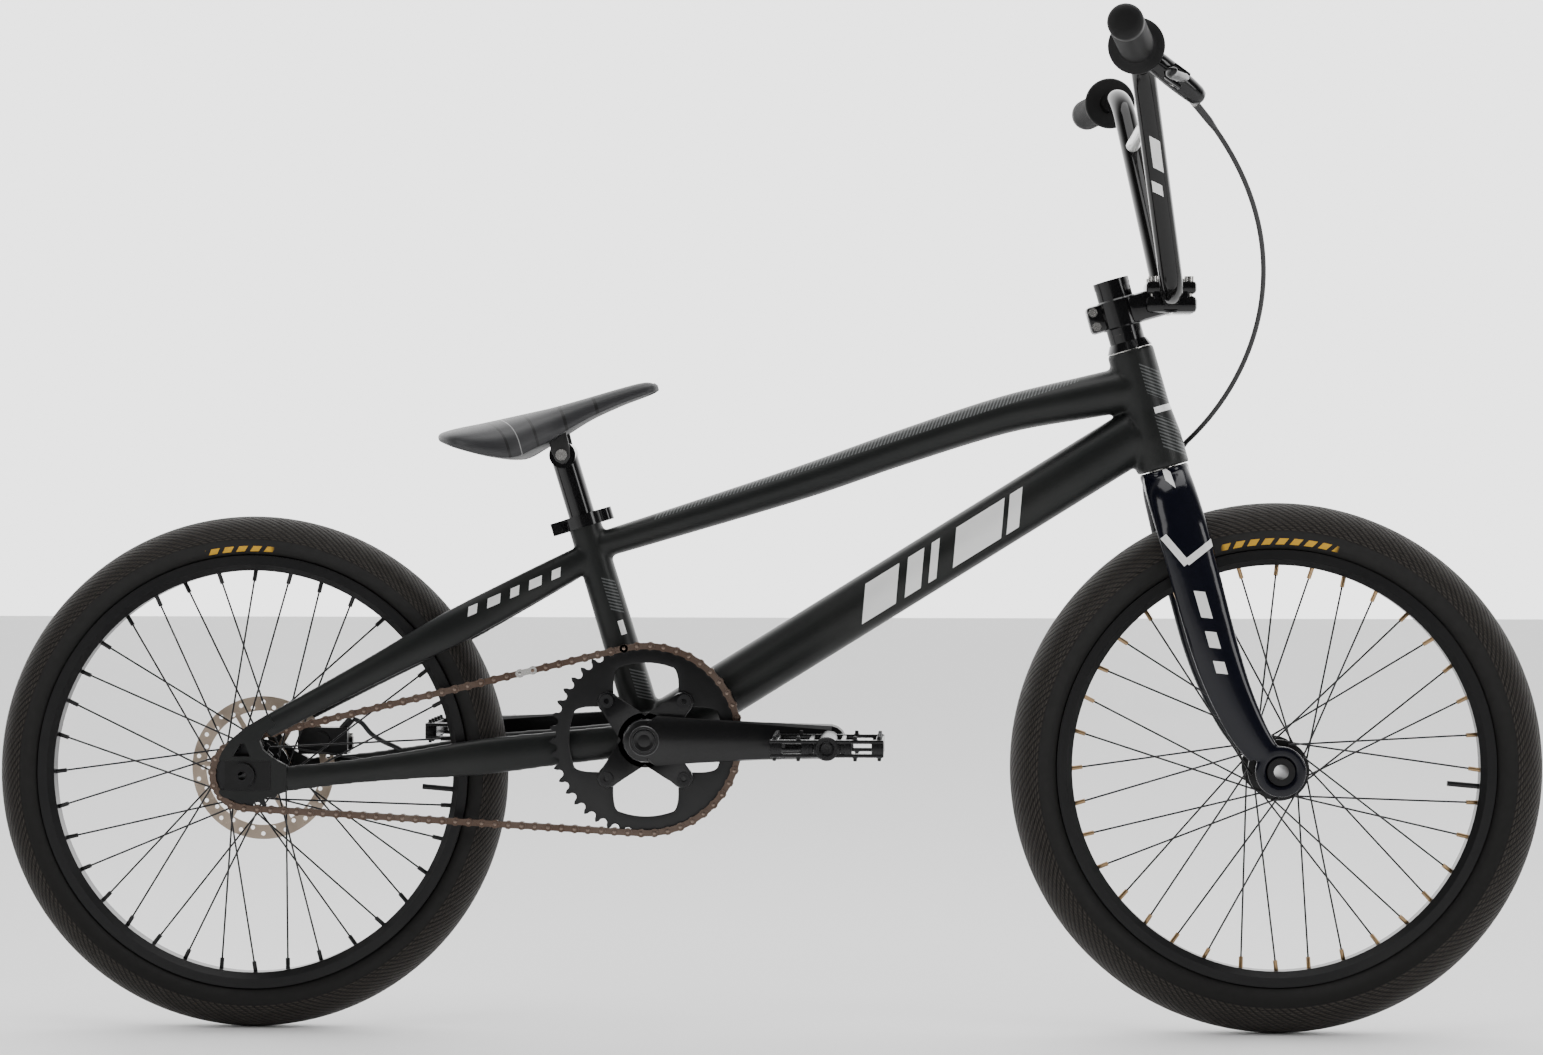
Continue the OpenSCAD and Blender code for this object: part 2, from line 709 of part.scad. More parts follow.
module grip() at_grip() difference() {
  union() {
    cylinder(r = grip_r, h = grip_len);
    translate([0, 0, grip_len - 5]) cylinder(r = 25.6, h = 5);
  }
  translate([0, 0, 4]) cylinder(r = bar_r, h = grip_len);
}

module grips() color("dimgray") {
  grip();
  at_bar() mirror([0, 1, 0]) bar_frame() grip();
}

// Undoes at_bar, so that a piece already placed can be mirrored about the centre plane.
module bar_frame() rotate([0, -head_tilt, 0]) translate([-stem_reach, 0, -bar_z])
  translate([rake, 0, 0]) rotate([0, head_tilt, 0]) translate([-front_x, 0, -front_r]) children();

lever_dip = 36.5;

// The brake lever's clamp on the right grip side: +X forward and down, +Y inward, +Z up.
module at_lever() at_bar() mirror([0, 1, 0]) translate(bar_end - out_dir * (grip_len + 9))
  mirror([0, 1, 0]) rotate([0, lever_dip, 0]) children();

module lever_body() color("black") at_lever() difference() {
  union() {
    across(15, -6.5, 6.5);
    translate([9, -6.5, -9]) cube([46, 22, 18]);
    translate([55, 9.5, 0]) rotate([0, 90, 0]) cylinder(r = 5, h = 9);
  }
  rotate([0, -lever_dip, 0])
    straight([30 * out_dir[0], -30 * out_dir[1], 30 * out_dir[2]], [-30 * out_dir[0], 30 * out_dir[1], -30 * out_dir[2]], bar_r);
  translate([30, -8, -4.6]) cube([40, 15, 9.2]);
  translate([44, 0, -12]) cylinder(r = 2.5, h = 24);
}

module lever_pivot() color("silver") at_lever() translate([44, 0, -9]) cylinder(r = 2.5, h = 18);

module brake_lever() color("black") at_lever() translate([44, 0, -4]) difference() {
  union() {
    cylinder(r = 6.5, h = 8);
    linear_extrude(8)
      polygon([[-4, 2], [6, 2], [14, -30], [14, -70], [8, -104], [-1, -102], [4, -70], [3, -32]]);
    translate([3.6, -103, 0]) cylinder(r = 6, h = 8);
  }
  translate([0, 0, -1]) cylinder(r = 2.5 + turn_gap - 0.1, h = 10);
}

// ---------------------------------------------------------------- wheels

function tyre_out(rt, w) = let (rb = rim_r + 0.5, rc = (rt + rb) / 2 + 1)
  concat([[rb - 5.2, 9.2], [rb - 5.2, 11.3], [rb - 0.3, 11.6]],
    [for (a = [-80:20:0]) [rc + (rc - rb) * sin(a), 12.4 + (w - 12.4) * cos(a)]],
    [for (a = [15:15:75]) [rc + (rt - rc) * sin(a), w * pow(cos(a), 0.8)]]);
function tyre_in(rt, w) = let (rb = rim_r + 0.5, rc = (rt + rb) / 2 + 1)
  concat([for (a = [75:-15:0]) [rc + (rt - 3.6 - rc) * sin(a), (w - 2.4) * pow(cos(a), 0.8)]],
    [for (a = [-20:-20:-80]) [rc + (rc - rb) * sin(a), 9.4 + (w - 2.4 - 9.4) * cos(a)]]);
function flip(p) = [for (i = [len(p) - 1:-1:0]) [p[i][0], -p[i][1]]];

module tyre(rt, w) turned() polygon(concat(tyre_out(rt, w), [[rt, 0]], flip(tyre_out(rt, w)),
  flip(tyre_in(rt, w)), [[rt - 3.6, 0]], tyre_in(rt, w)));

module rim() turned() {
  w = rim_half_w;
  difference() {
    polygon([[rim_bed_r, -8], [rim_bed_r, 8], [rim_r - 9, w], [rim_r, w], [rim_r, w - 1.9],
      [rim_r - 5.3, w - 2.5], [rim_r - 7.4, 6], [rim_r - 7.4, -6], [rim_r - 5.3, 2.5 - w],
      [rim_r, 1.9 - w], [rim_r, -w], [rim_r - 9, -w]]);
    polygon([[rim_bed_r + 1.6, -6.8], [rim_bed_r + 1.6, 6.8], [rim_r - 8.8, 11], [rim_r - 9, 5.4],
      [rim_r - 9, -5.4], [rim_r - 8.8, -11]]);
  }
}

// The path of spoke i: hub end and rim end, laced three-cross.
function spoke_hub(i, fy) = let (side = i % 2 == 0 ? 1 : -1, lead = floor(i / 2) % 2 == 0 ? 1 : -1,
    a = (i + (side > 0 ? 0 : 0)) * 360 / spoke_count + lead * 60)
  [spoke_hole_r * cos(a), side * (fy + (lead > 0 ? flange_half + spoke_d / 2 + 1.6 : -flange_half - spoke_d / 2 - 0.6)),
    spoke_hole_r * sin(a)];
function spoke_rim(i, r) = let (side = i % 2 == 0 ? 1 : -1, a = i * 360 / spoke_count)
  [r * cos(a), side * 2.6, r * sin(a)];

module spokes(fy) for (i = [0:spoke_count - 1])
  straight(spoke_hub(i, fy), spoke_rim(i, rim_bed_r - 10), spoke_d / 2);

module nipples(fy) intersection() {
  for (i = [0:spoke_count - 1]) {
    p = spoke_rim(i, rim_bed_r - 10);
    straight(p, p + 14 * unit(p - spoke_hub(i, fy)), 2.1);
  }
  across(rim_bed_r, -20, 20);
}

module valve() rotate([0, 90 + 180 / spoke_count, 0]) translate([0, 0, rim_bed_r - 30])
  cylinder(r = 2.6, h = 30.0);

module front_tyre() color("black") at_front() tyre(front_r, front_tyre_half_w);
module front_rim() color("black") at_front() rim();
module front_spokes() color("gray") at_front() spokes(front_flange_y);
module front_nipples() color("peru") at_front() nipples(front_flange_y);
module front_valve() color("gray") at_front() valve();

module flange_hub(fy, y0, y1, bore, core) turned()
  polygon([[bore, y0], [core + 3, y0], [core + 3, -fy - flange_half - 0.6], [spoke_hole_r + 3, -fy - flange_half],
    [spoke_hole_r + 3, -fy + flange_half], [core + 1, -fy + flange_half + 2], [core, 0],
    [core + 1, fy - flange_half - 2], [spoke_hole_r + 3, fy - flange_half],
    [spoke_hole_r + 3, fy + flange_half], [core + 3, fy + flange_half + 0.6], [core + 3, y1], [bore, y1]]);

module front_hub() color("black") at_front()
  flange_hub(front_flange_y, 4.6 - front_old_half, front_old_half - 4.6, axle_front_r + turn_gap, 15);

module rear_tyre() color("black") at_rear() tyre(rear_r, rear_tyre_half_w);
module rear_rim() color("black") at_rear() rim();
module rear_spokes() color("gray") at_rear() spokes(rear_flange_y);
module rear_nipples() color("black") at_rear() nipples(rear_flange_y);
module rear_valve() color("gray") at_rear() valve();

rotor_bolt_r = 22;

module rear_hub() color("black") at_rear() difference() {
  union() {
    flange_hub(rear_flange_y, 6 - chain_y, rotor_y, axle_rear_r + turn_gap, 15.5);
    difference() {
      across(26, rotor_y - 5, rotor_y);
      across(17, rotor_y - 6, rotor_y + 1);
    }
  }
  rotor_holes(2.55, rotor_y - 4);
}

module rotor_holes(r, y0) for (i = [0:5]) rotate([0, i * 60 + 30, 0]) translate([rotor_bolt_r, 0, 0])
  across(r, y0, rotor_y + 5);

module brake_rotor() color("rosybrown") at_rear() plate(rotor_y, rotor_y + rotor_t) difference() {
  union() {
    difference() {
      circle(r = rotor_r);
      circle(r = rotor_r - 14);
    }
    for (i = [0:5]) rotate(i * 60) translate([24, -6]) square([rotor_r - 36, 5]);
    circle(r = 27.5);
  }
  circle(r = 16.5);
  for (i = [0:5]) rotate(i * 60 + 30) translate([rotor_bolt_r, 0]) circle(r = 2.55, $fn = 24);
  for (i = [0:17], k = [0, 1]) rotate(i * 20 + k * 10) translate([rotor_r - 10.5 + k * 5, 0])
    circle(r = 2.1, $fn = 24);
}

module rotor_bolts() color("silver") at_rear() for (i = [0:5])
  rotate([0, i * 60 + 30, 0]) translate([rotor_bolt_r, 0, 0]) {
    across(2.5, rotor_y - 4, rotor_y + rotor_t);
    across(3.6, rotor_y + rotor_t, rotor_y + rotor_t + 1.6);
  }

// ---------------------------------------------------------------- drivetrain

function tooth_gap(r) = concat([for (a = [104:8:256]) r * [cos(a), sin(a)]],
  [r * [cos(256), sin(256)] + 8 * [cos(14), -sin(14)], r * [cos(104), sin(104)] + 8 * [cos(14), sin(14)]]);
module teeth(n, r, first, top) difference() {
  circle(r = r + top);
  for (i = [0:n - 1]) rotate(first - i * 360 / n) translate([r, 0]) polygon(tooth_gap(4.15));
}

module cog() color("gray") at_rear() difference() {
  union() {
    plate(-chain_y - 1.1, -chain_y + 1.1) teeth(cog_teeth, cog_r, run_low, 3.2);
    across(axle_rear_r + 10, -chain_y - 6, 5.4 - chain_y);
  }
  across(axle_rear_r + turn_gap, -60, -30);
}

module crank_spindle() color("gray") at_bb() difference() {
  across(spindle_r, -66, 66);
  across(spindle_bore_r, -80, 80);
}

arm_in = 53;
arm_out = 67;

module arm_shape() {
  circle(r = 21);
  polygon([[0, 18.5], [crank_len, 16.5], [crank_len, -16.5], [0, -18.5]]);
  translate([crank_len, 0]) circle(r = 16.5);
}

module crank_arm_right() color("black") at_bb() difference() {
  union() {
    plate(-arm_out, -arm_in) arm_shape();
    plate(-arm_in, -chain_y - 4.6) {
      circle(r = 26);
      for (a = [45:90:315]) rotate(a) {
        translate([10, -8]) square([bolt_circle_r - 10, 16]);
        translate([bolt_circle_r, 0]) circle(r = 8);
      }
    }
    for (a = [45:90:315]) rotate([0, a, 0]) translate([bolt_circle_r, 0, 0])
      across(7, -chain_y - 4.6, -chain_y - 1.1);
  }
  across(spindle_r, -66, 0);
  across(spindle_r + 1, -80, -66);
  translate([crank_len, 0, 0]) across(pedal_axle_r, -80, 0);
  for (a = [45:90:315]) rotate([0, a, 0]) translate([bolt_circle_r, 0, 0]) across(4.05, -60, 0);
}

module crank_arm_left() color("black") at_bb() difference() {
  union() {
    plate(arm_in, arm_out) rotate(180) arm_shape();
    across(20, bb_shell_half + 10.8, arm_in);
  }
  across(spindle_r, 0, 66);
  across(spindle_r + 1, 66, 80);
  translate([-crank_len, 0, 0]) across(pedal_axle_r, 0, 80);
}

module chainring() color("black") at_bb() plate(-chain_y - 1.1, -chain_y + 1.1) difference() {
  teeth(ring_teeth, ring_r, run_up, 3.2);
  difference() {
    circle(r = ring_r - 17);
    for (a = [45:90:315]) rotate(a) {
      translate([bolt_circle_r, -11]) square([30, 22]);
      translate([bolt_circle_r, 0]) circle(r = 11);
    }
  }
  for (a = [45:90:315]) rotate(a) translate([bolt_circle_r, 0]) circle(r = 4.05);
}

module chainring_bolts() color("silver") at_bb() for (a = [45:90:315])
  rotate([0, a, 0]) translate([bolt_circle_r, 0, 0]) difference() {
    union() {
      across(4, -arm_in, 1.1 - chain_y);
      across(6.5, -arm_in - 1.6, -arm_in);
      across(6.5, 1.1 - chain_y, 2.4 - chain_y);
    }
    across(2.6, -60, 3 - arm_in);
  }

module pedal_axles() color("gray") at_bb() {
  for (s = [1, -1]) scale([s, -s, 1]) translate([crank_len, 0, 0]) {
    across(pedal_axle_r, arm_in, arm_out + pedal_w + 7);
    across(9, arm_out, arm_out + 6);
  }
}

module pedal(s) at_bb() rotate([0, 0, s > 0 ? 0 : 180]) translate([crank_len, -arm_out - 8, 0]) difference() {
  union() {
    translate([-pedal_len / 2, -pedal_w, -8]) difference() {
      cube([pedal_len, pedal_w, 16]);
      for (x = [8, pedal_len / 2 + 14]) translate([x, 9, -1]) cube([pedal_len / 2 - 22, pedal_w - 18, 18]);
      for (x = [12, pedal_len - 28]) translate([x, -1, 3.5]) cube([16, pedal_w + 2, 9]);
    }
    across(11, -pedal_w - 1, 0.6);
    for (x = [-1, 1], y = [8, pedal_w / 2, pedal_w - 8]) translate([x * (pedal_len / 2 - 4), -y, -11.5])
      cylinder(r = 1.8, h = 23);
    for (x = [-25, 25], y = [4.5, pedal_w - 4.5]) translate([x, -y, -11.5]) cylinder(r = 1.8, h = 23);
  }
  across(pedal_axle_r + turn_gap, -pedal_w + 0.6, 8);
}

module pedal_right() color("black") pedal(1);
module pedal_left() color("black") pedal(-1);

head_tube();
top_tube();
down_tube();
seat_tube();
bb_shell();
bb_cups();
seat_stays();
chain_stays();
dropouts();
axle_blocks();
rear_axle();
seat_clamp();
headset_bearings();
brake_caliper();
brake_pads();
caliper_bolts();
brake_hose();
chain();
seat_post();
saddle_base();
saddle_cover();
seat_bolt();
steerer();
fork();
headset_cover();
spacers();
stem();
stem_cap();
stem_bolts();
top_cap();
handlebar();
crossbar();
grips();
lever_body();
lever_pivot();
front_axle();
brake_lever();
front_tyre();
front_rim();
front_spokes();
front_nipples();
front_hub();
front_valve();
rear_tyre();
rear_rim();
rear_spokes();
rear_nipples();
rear_hub();
rear_valve();
brake_rotor();
rotor_bolts();
cog();
crank_spindle();
crank_arm_right();
crank_arm_left();
chainring();
chainring_bolts();
pedal_axles();
pedal_right();
pedal_left();
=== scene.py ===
"""BMX race bike: the look of every piece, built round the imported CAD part. Lengths are in millimetres until mm()."""
import bmesh
import bpy
import math
from mathutils import Matrix, Vector


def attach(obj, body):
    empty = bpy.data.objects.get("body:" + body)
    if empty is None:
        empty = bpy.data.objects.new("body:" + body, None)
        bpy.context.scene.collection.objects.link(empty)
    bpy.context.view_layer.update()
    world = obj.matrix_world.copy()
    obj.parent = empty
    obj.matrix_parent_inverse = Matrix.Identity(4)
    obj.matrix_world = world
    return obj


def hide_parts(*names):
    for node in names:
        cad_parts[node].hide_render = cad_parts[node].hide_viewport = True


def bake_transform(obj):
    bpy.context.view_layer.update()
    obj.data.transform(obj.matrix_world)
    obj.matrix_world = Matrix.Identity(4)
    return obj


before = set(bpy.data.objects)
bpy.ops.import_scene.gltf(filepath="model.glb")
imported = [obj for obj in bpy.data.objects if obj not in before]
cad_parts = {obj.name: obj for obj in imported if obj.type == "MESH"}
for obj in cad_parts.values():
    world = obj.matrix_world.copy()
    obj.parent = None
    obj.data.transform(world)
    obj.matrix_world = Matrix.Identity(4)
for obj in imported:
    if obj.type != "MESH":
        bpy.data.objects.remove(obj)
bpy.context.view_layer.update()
scene = bpy.context.scene

# ---------------------------------------------------------------- camera, light and floor
# The camera stands level with the bottom bracket on the chain side, three and a half metres off, with a long lens.
# Two soft boxes, a large one overhead and a pale room, darker behind the camera, give the long highlights and the
# soft shadow under the tyres.
camera = bpy.data.objects.new("camera", bpy.data.cameras.new("camera"))
camera.data.lens = 84.48
camera.data.sensor_width = 36
camera.matrix_world = (Matrix.Translation((0.14794, -3.47417, 0.49334)) @ Matrix.Rotation(math.radians(2.349), 4, "Z")
                       @ Matrix.Rotation(math.radians(89.81), 4, "X") @ Matrix.Rotation(math.radians(0.067), 4, "Z"))
scene.collection.objects.link(camera)
scene.camera = camera

world = bpy.data.worlds.new("room")
world.use_nodes = True
room = world.node_tree
facing = room.nodes.new("ShaderNodeTexCoord")
split = room.nodes.new("ShaderNodeSeparateXYZ")
room.links.new(facing.outputs["Generated"], split.inputs["Vector"])
shade = room.nodes.new("ShaderNodeMapRange")
shade.interpolation_type = "SMOOTHSTEP"
for label, value in (("From Min", -0.15), ("From Max", 0.6), ("To Min", 0.07), ("To Max", 3.0)):
    shade.inputs[label].default_value = value
room.links.new(split.outputs["Y"], shade.inputs["Value"])
room.nodes["Background"].inputs["Color"].default_value = (1, 1, 1, 1)
room.links.new(shade.outputs["Result"], room.nodes["Background"].inputs["Strength"])
scene.world = world
for name, place, aim, size, power in (
        ("overhead box", (0.2, -0.5, 3.2), (0, 0, 0.3), (3.0, 1.6), 55),
        ("left box", (-2.6, -2.4, 1.9), (-0.2, 0, 0.4), (1.2, 1.6), 26),
        ("right box", (2.8, -1.8, 1.6), (0.2, 0, 0.5), (0.8, 1.8), 26)):
    lamp = bpy.data.lights.new(name, "AREA")
    lamp.shape = "RECTANGLE"
    lamp.size, lamp.size_y = size
    lamp.energy = power
    box = bpy.data.objects.new(name, lamp)
    box.location = place
    box.rotation_euler = (Vector(aim) - Vector(place)).to_track_quat("-Z", "Y").to_euler()
    scene.collection.objects.link(box)


def shader(name, color=(0.5, 0.5, 0.5), rough=0.5, metal=0.0, **more):
    """A new material with its Principled sockets set; returns the material and the shader node."""
    mat = bpy.data.materials.new(name)
    mat.use_nodes = True
    node = mat.node_tree.nodes["Principled BSDF"]
    node.inputs["Base Color"].default_value = (*color, 1)
    node.inputs["Roughness"].default_value = rough
    node.inputs["Metallic"].default_value = metal
    for key, value in more.items():
        node.inputs[key.replace("_", " ").title().replace("Ior", "IOR")].default_value = value
    return mat, node


bm = bmesh.new()
bmesh.ops.create_grid(bm, x_segments=2, y_segments=2, size=14)
mesh = bpy.data.meshes.new("floor")
bm.to_mesh(mesh)
bm.free()
floor = bpy.data.objects.new("floor", mesh)
floor_mat, floor_shader = shader("pale floor", (0.93, 0.93, 0.93), 0.6)
tree = floor_mat.node_tree
speck = tree.nodes.new("ShaderNodeTexNoise")
speck.inputs["Scale"].default_value = 30
spread = tree.nodes.new("ShaderNodeMapRange")
spread.inputs["To Min"].default_value = 0.55
spread.inputs["To Max"].default_value = 0.65
tree.links.new(speck.outputs["Fac"], spread.inputs["Value"])
tree.links.new(spread.outputs["Result"], floor_shader.inputs["Roughness"])
mesh.materials.append(floor_mat)
scene.collection.objects.link(floor)

# ---------------------------------------------------------------- finishes that several pieces share
# Anodised alloy, blackened and bright steel and brass parts: fine grain in the gloss, faint tint and tiny bumps.
# One node group makes the grain; each metal sets its own colour, gloss and scale.
grain = bpy.data.node_groups.new("surface grain", "ShaderNodeTree")
for label, kind, value in (("Color", "NodeSocketColor", (0.5, 0.5, 0.5, 1)), ("Scale", "NodeSocketFloat", 900),
                           ("Roughness", "NodeSocketFloat", 0.4), ("Spread", "NodeSocketFloat", 0.08),
                           ("Tint", "NodeSocketFloat", 0.15), ("Depth", "NodeSocketFloat", 0.02)):
    grain.interface.new_socket(label, in_out="INPUT", socket_type=kind).default_value = value
for label, kind in (("Color", "NodeSocketColor"), ("Roughness", "NodeSocketFloat"), ("Normal", "NodeSocketVector")):
    grain.interface.new_socket(label, in_out="OUTPUT", socket_type=kind)
g_in, g_out = grain.nodes.new("NodeGroupInput"), grain.nodes.new("NodeGroupOutput")
where = grain.nodes.new("ShaderNodeTexCoord")
fine, broad = grain.nodes.new("ShaderNodeTexNoise"), grain.nodes.new("ShaderNodeTexNoise")
broad.inputs["Scale"].default_value = 14
fine.inputs["Detail"].default_value = 4
for node in (fine, broad):
    grain.links.new(where.outputs["Object"], node.inputs["Vector"])
grain.links.new(g_in.outputs["Scale"], fine.inputs["Scale"])


def maths(tree, kind, a, b=None, c=None):
    """A math node fed by sockets or numbers; returns its output socket."""
    node = tree.nodes.new("ShaderNodeMath")
    node.operation = kind
    for place, value in zip(node.inputs, (a, b, c)):
        if isinstance(value, (int, float)):
            place.default_value = value
        elif value is not None:
            tree.links.new(value, place)
    return node.outputs[0]


def blended(tree, mask, under, over):
    """Colour `over` laid on `under` where the mask is 1; returns the colour socket."""
    node = tree.nodes.new("ShaderNodeMix")
    node.data_type = "RGBA"
    for index, value in ((0, mask), (6, under), (7, over)):
        if isinstance(value, (int, float)):
            node.inputs[index].default_value = value
        elif isinstance(value, tuple):
            node.inputs[index].default_value = (*value, 1)
        else:
            tree.links.new(value, node.inputs[index])
    return node.outputs[2]


swing = maths(grain, "SUBTRACT", fine.outputs["Fac"], 0.5)
rough = maths(grain, "MULTIPLY_ADD", maths(grain, "MULTIPLY", swing, 2.0), g_in.outputs["Spread"],
              g_in.outputs["Roughness"])
grain.links.new(rough, g_out.inputs["Roughness"])
shade = maths(grain, "MULTIPLY", maths(grain, "SUBTRACT", broad.outputs["Fac"], 0.4), g_in.outputs["Tint"])
grain.links.new(blended(grain, shade, g_in.outputs["Color"], (0.5, 0.47, 0.42)), g_out.inputs["Color"])
bump = grain.nodes.new("ShaderNodeBump")
bump.inputs["Distance"].default_value = 0.0002
grain.links.new(fine.outputs["Fac"], bump.inputs["Height"])
grain.links.new(g_in.outputs["Depth"], bump.inputs["Strength"])
grain.links.new(bump.outputs["Normal"], g_out.inputs["Normal"])


def grained(name, color, rough, metal=0.0, scale=900, spread=0.08, tint=0.1, depth=0.05, **more):
    """A material whose colour, gloss and normal come from the grain group; returns it, its shader and that group."""
    mat, node = shader(name, color, rough, metal, **more)
    tree = mat.node_tree
    group = tree.nodes.new("ShaderNodeGroup")
    group.node_tree = grain
    for label, value in (("Color", (*color, 1)), ("Scale", scale), ("Roughness", rough), ("Spread", spread),
                         ("Tint", tint), ("Depth", depth)):
        group.inputs[label].default_value = value
    tree.links.new(group.outputs["Color"], node.inputs["Base Color"])
    tree.links.new(group.outputs["Roughness"], node.inputs["Roughness"])
    tree.links.new(group.outputs["Normal"], node.inputs["Normal"])
    return mat, node, group


anodised = grained("black anodised alloy", (0.007, 0.007, 0.0075), 0.33, 0.4, tint=0.02, specular_ior_level=0.4)[0]
satin_black = grained("satin black alloy", (0.008, 0.008, 0.0085), 0.36, 0.2, tint=0.02, specular_ior_level=0.4)[0]
gloss_black = grained("gloss black paint", (0.004, 0.004, 0.0045), 0.14, 0.0, spread=0.02, tint=0.01, depth=0.01,
                      coat_weight=0.3, coat_roughness=0.06, specular_ior_level=0.25)[0]
bright_steel = grained("bright steel", (0.55, 0.54, 0.52), 0.25, 1.0)[0]
dark_steel = grained("blackened steel", (0.03, 0.03, 0.031), 0.35, 0.9, tint=0.04)[0]
bronze = grained("bronze plate", (0.36, 0.24, 0.13), 0.3, 1.0)[0]
friction = grained("sintered friction pad", (0.20, 0.13, 0.08), 0.8, 0.5, scale=2500, spread=0.15, depth=0.6)[0]
rotor_steel = grained("stainless rotor", (0.42, 0.34, 0.27), 0.32, 0.9, scale=400, spread=0.12, tint=0.15,
                      depth=0.15)[0]
for mat, nodes in (
        (anodised, ["bb_cups", "axle_blocks", "rear_axle", "front_axle", "front_hub", "rear_hub", "brake_caliper",
                    "lever_body", "brake_lever", "front_rim", "rear_rim"]),
        (satin_black, ["chainring"]),
        (gloss_black, ["seat_post", "seat_clamp", "spacers", "top_cap", "headset_cover"]),
        (bright_steel, ["headset_bearings", "caliper_bolts", "steerer", "stem_bolts", "seat_bolt", "lever_pivot",
                        "crank_spindle", "rotor_bolts"]),
        (dark_steel, ["front_spokes", "rear_spokes", "cog", "rear_nipples", "chainring_bolts", "pedal_axles",
                      "front_valve", "rear_valve"]),
        (bronze, ["front_nipples"]),
        (rotor_steel, ["brake_rotor"]),
        (friction, ["brake_pads"])):
    for name in nodes:
        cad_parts[name].data.materials.clear()
        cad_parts[name].data.materials.append(mat)


def mm(*point):
    """A point in the row frame, given in millimetres."""
    return Vector(point) / 1000


def spline(rows, steps=6):
    """Rows of numbers with smooth in-between rows, through every given one."""
    out = []
    for i in range(len(rows) - 1):
        a, b, c, d = rows[max(i - 1, 0)], rows[i], rows[i + 1], rows[min(i + 2, len(rows) - 1)]
        for k in range(steps):
            t = k / steps
            out.append([0.5 * (2 * q + (r - p) * t + (2 * p - 5 * q + 4 * r - s) * t * t
                               + (3 * q - p - 3 * r + s) * t ** 3)
                        for p, q, r, s in zip(a, b, c, d)])
    return out + [list(rows[-1])]


def skin(bm, rings, closed=False, caps=True):
    """Joins rings of points, all of one count, into a skin; returns the rings of vertices."""
    rows = [[bm.verts.new(p) for p in ring] for ring in rings]
    pairs = list(zip(rows, rows[1:])) + ([(rows[-1], rows[0])] if closed else [])
    for low, high in pairs:
        for k in range(len(low)):
            n = (k + 1) % len(low)
            bm.faces.new((low[k], low[n], high[n], high[k]))
    if caps and not closed:
        bm.faces.new(rows[0][::-1])
        bm.faces.new(rows[-1])
    return rows


def ovals(bm, rows, around=32, side=Vector((0, 1, 0))):
    """A tube through rows of (x, y, z, half height, half width); the half width is measured along `side`."""
    rings = []
    for i, row in enumerate(rows):
        here = Vector(row[:3])
        along = Vector(rows[min(i + 1, len(rows) - 1)][:3]) - Vector(rows[max(i - 1, 0)][:3])
        along = (along - side * along.dot(side)).normalized()
        up = along.cross(side).normalized()
        rings.append([(here + up * (row[3] * math.cos(a)) + side * (row[4] * math.sin(a))) / 1000
                      for a in (2 * math.pi * k / around for k in range(around))])
    return skin(bm, rings)


def sweep(bm, points, radius, around=20):
    """A round tube along points; the radius is one number or one for each point."""
    points = [Vector(p) for p in points]
    up, rings = None, []
    for i, here in enumerate(points):
        along = (points[min(i + 1, len(points) - 1)] - points[max(i - 1, 0)]).normalized()
        up = along.orthogonal() if up is None else up - along * up.dot(along)
        up.normalize()
        across = along.cross(up)
        r = radius[i] if isinstance(radius, (list, tuple)) else radius
        rings.append([(here + (up * math.cos(a) + across * math.sin(a)) * r) / 1000
                      for a in (2 * math.pi * k / around for k in range(around))])
    return skin(bm, rings)


def turned(bm, profile, place=Matrix(), around=48, closed=False):
    """A turned piece from (radius, height) points, spun about local Z, then set in place."""
    rings = [[place @ (Vector((r * math.cos(a), r * math.sin(a), h)) / 1000)
              for a in (2 * math.pi * k / around for k in range(around))] for r, h in profile]
    return skin(bm, rings, closed=closed)


def slab(bm, outline, low, high, place=Matrix(), bevel=0.0, segments=2):
    """A flat outline in local X and Z made solid from local y=low to y=high, with its edges bevelled."""
    rows = skin(bm, [[place @ (Vector((x, y, z)) / 1000) for x, z in outline] for y in (low, high)])
    if bevel:
        rim = [e for row in rows for v in row for e in v.link_edges if e.other_vert(v) in row]
        bmesh.ops.bevel(bm, geom=list(set(rim)), offset=bevel / 1000, offset_type="OFFSET", affect="EDGES",
                        segments=segments, profile=0.5, material=-1, clamp_overlap=True)


def melted(bm, voxel, rounds):
    """Overlapping closed skins joined into one surface with softened joins."""
    mesh = bpy.data.meshes.new("soft joins")
    bm.to_mesh(mesh)
    bm.free()
    ob = bpy.data.objects.new("soft joins", mesh)
    scene.collection.objects.link(ob)
    remesh = ob.modifiers.new("remesh", "REMESH")
    remesh.mode = "VOXEL"
    remesh.voxel_size = voxel / 1000
    soft = ob.modifiers.new("soft", "SMOOTH")
    soft.factor = 0.5
    soft.iterations = rounds
    done = bpy.data.meshes.new_from_object(ob.evaluated_get(bpy.context.evaluated_depsgraph_get()))
    bpy.data.objects.remove(ob)
    bpy.data.meshes.remove(mesh)
    return done


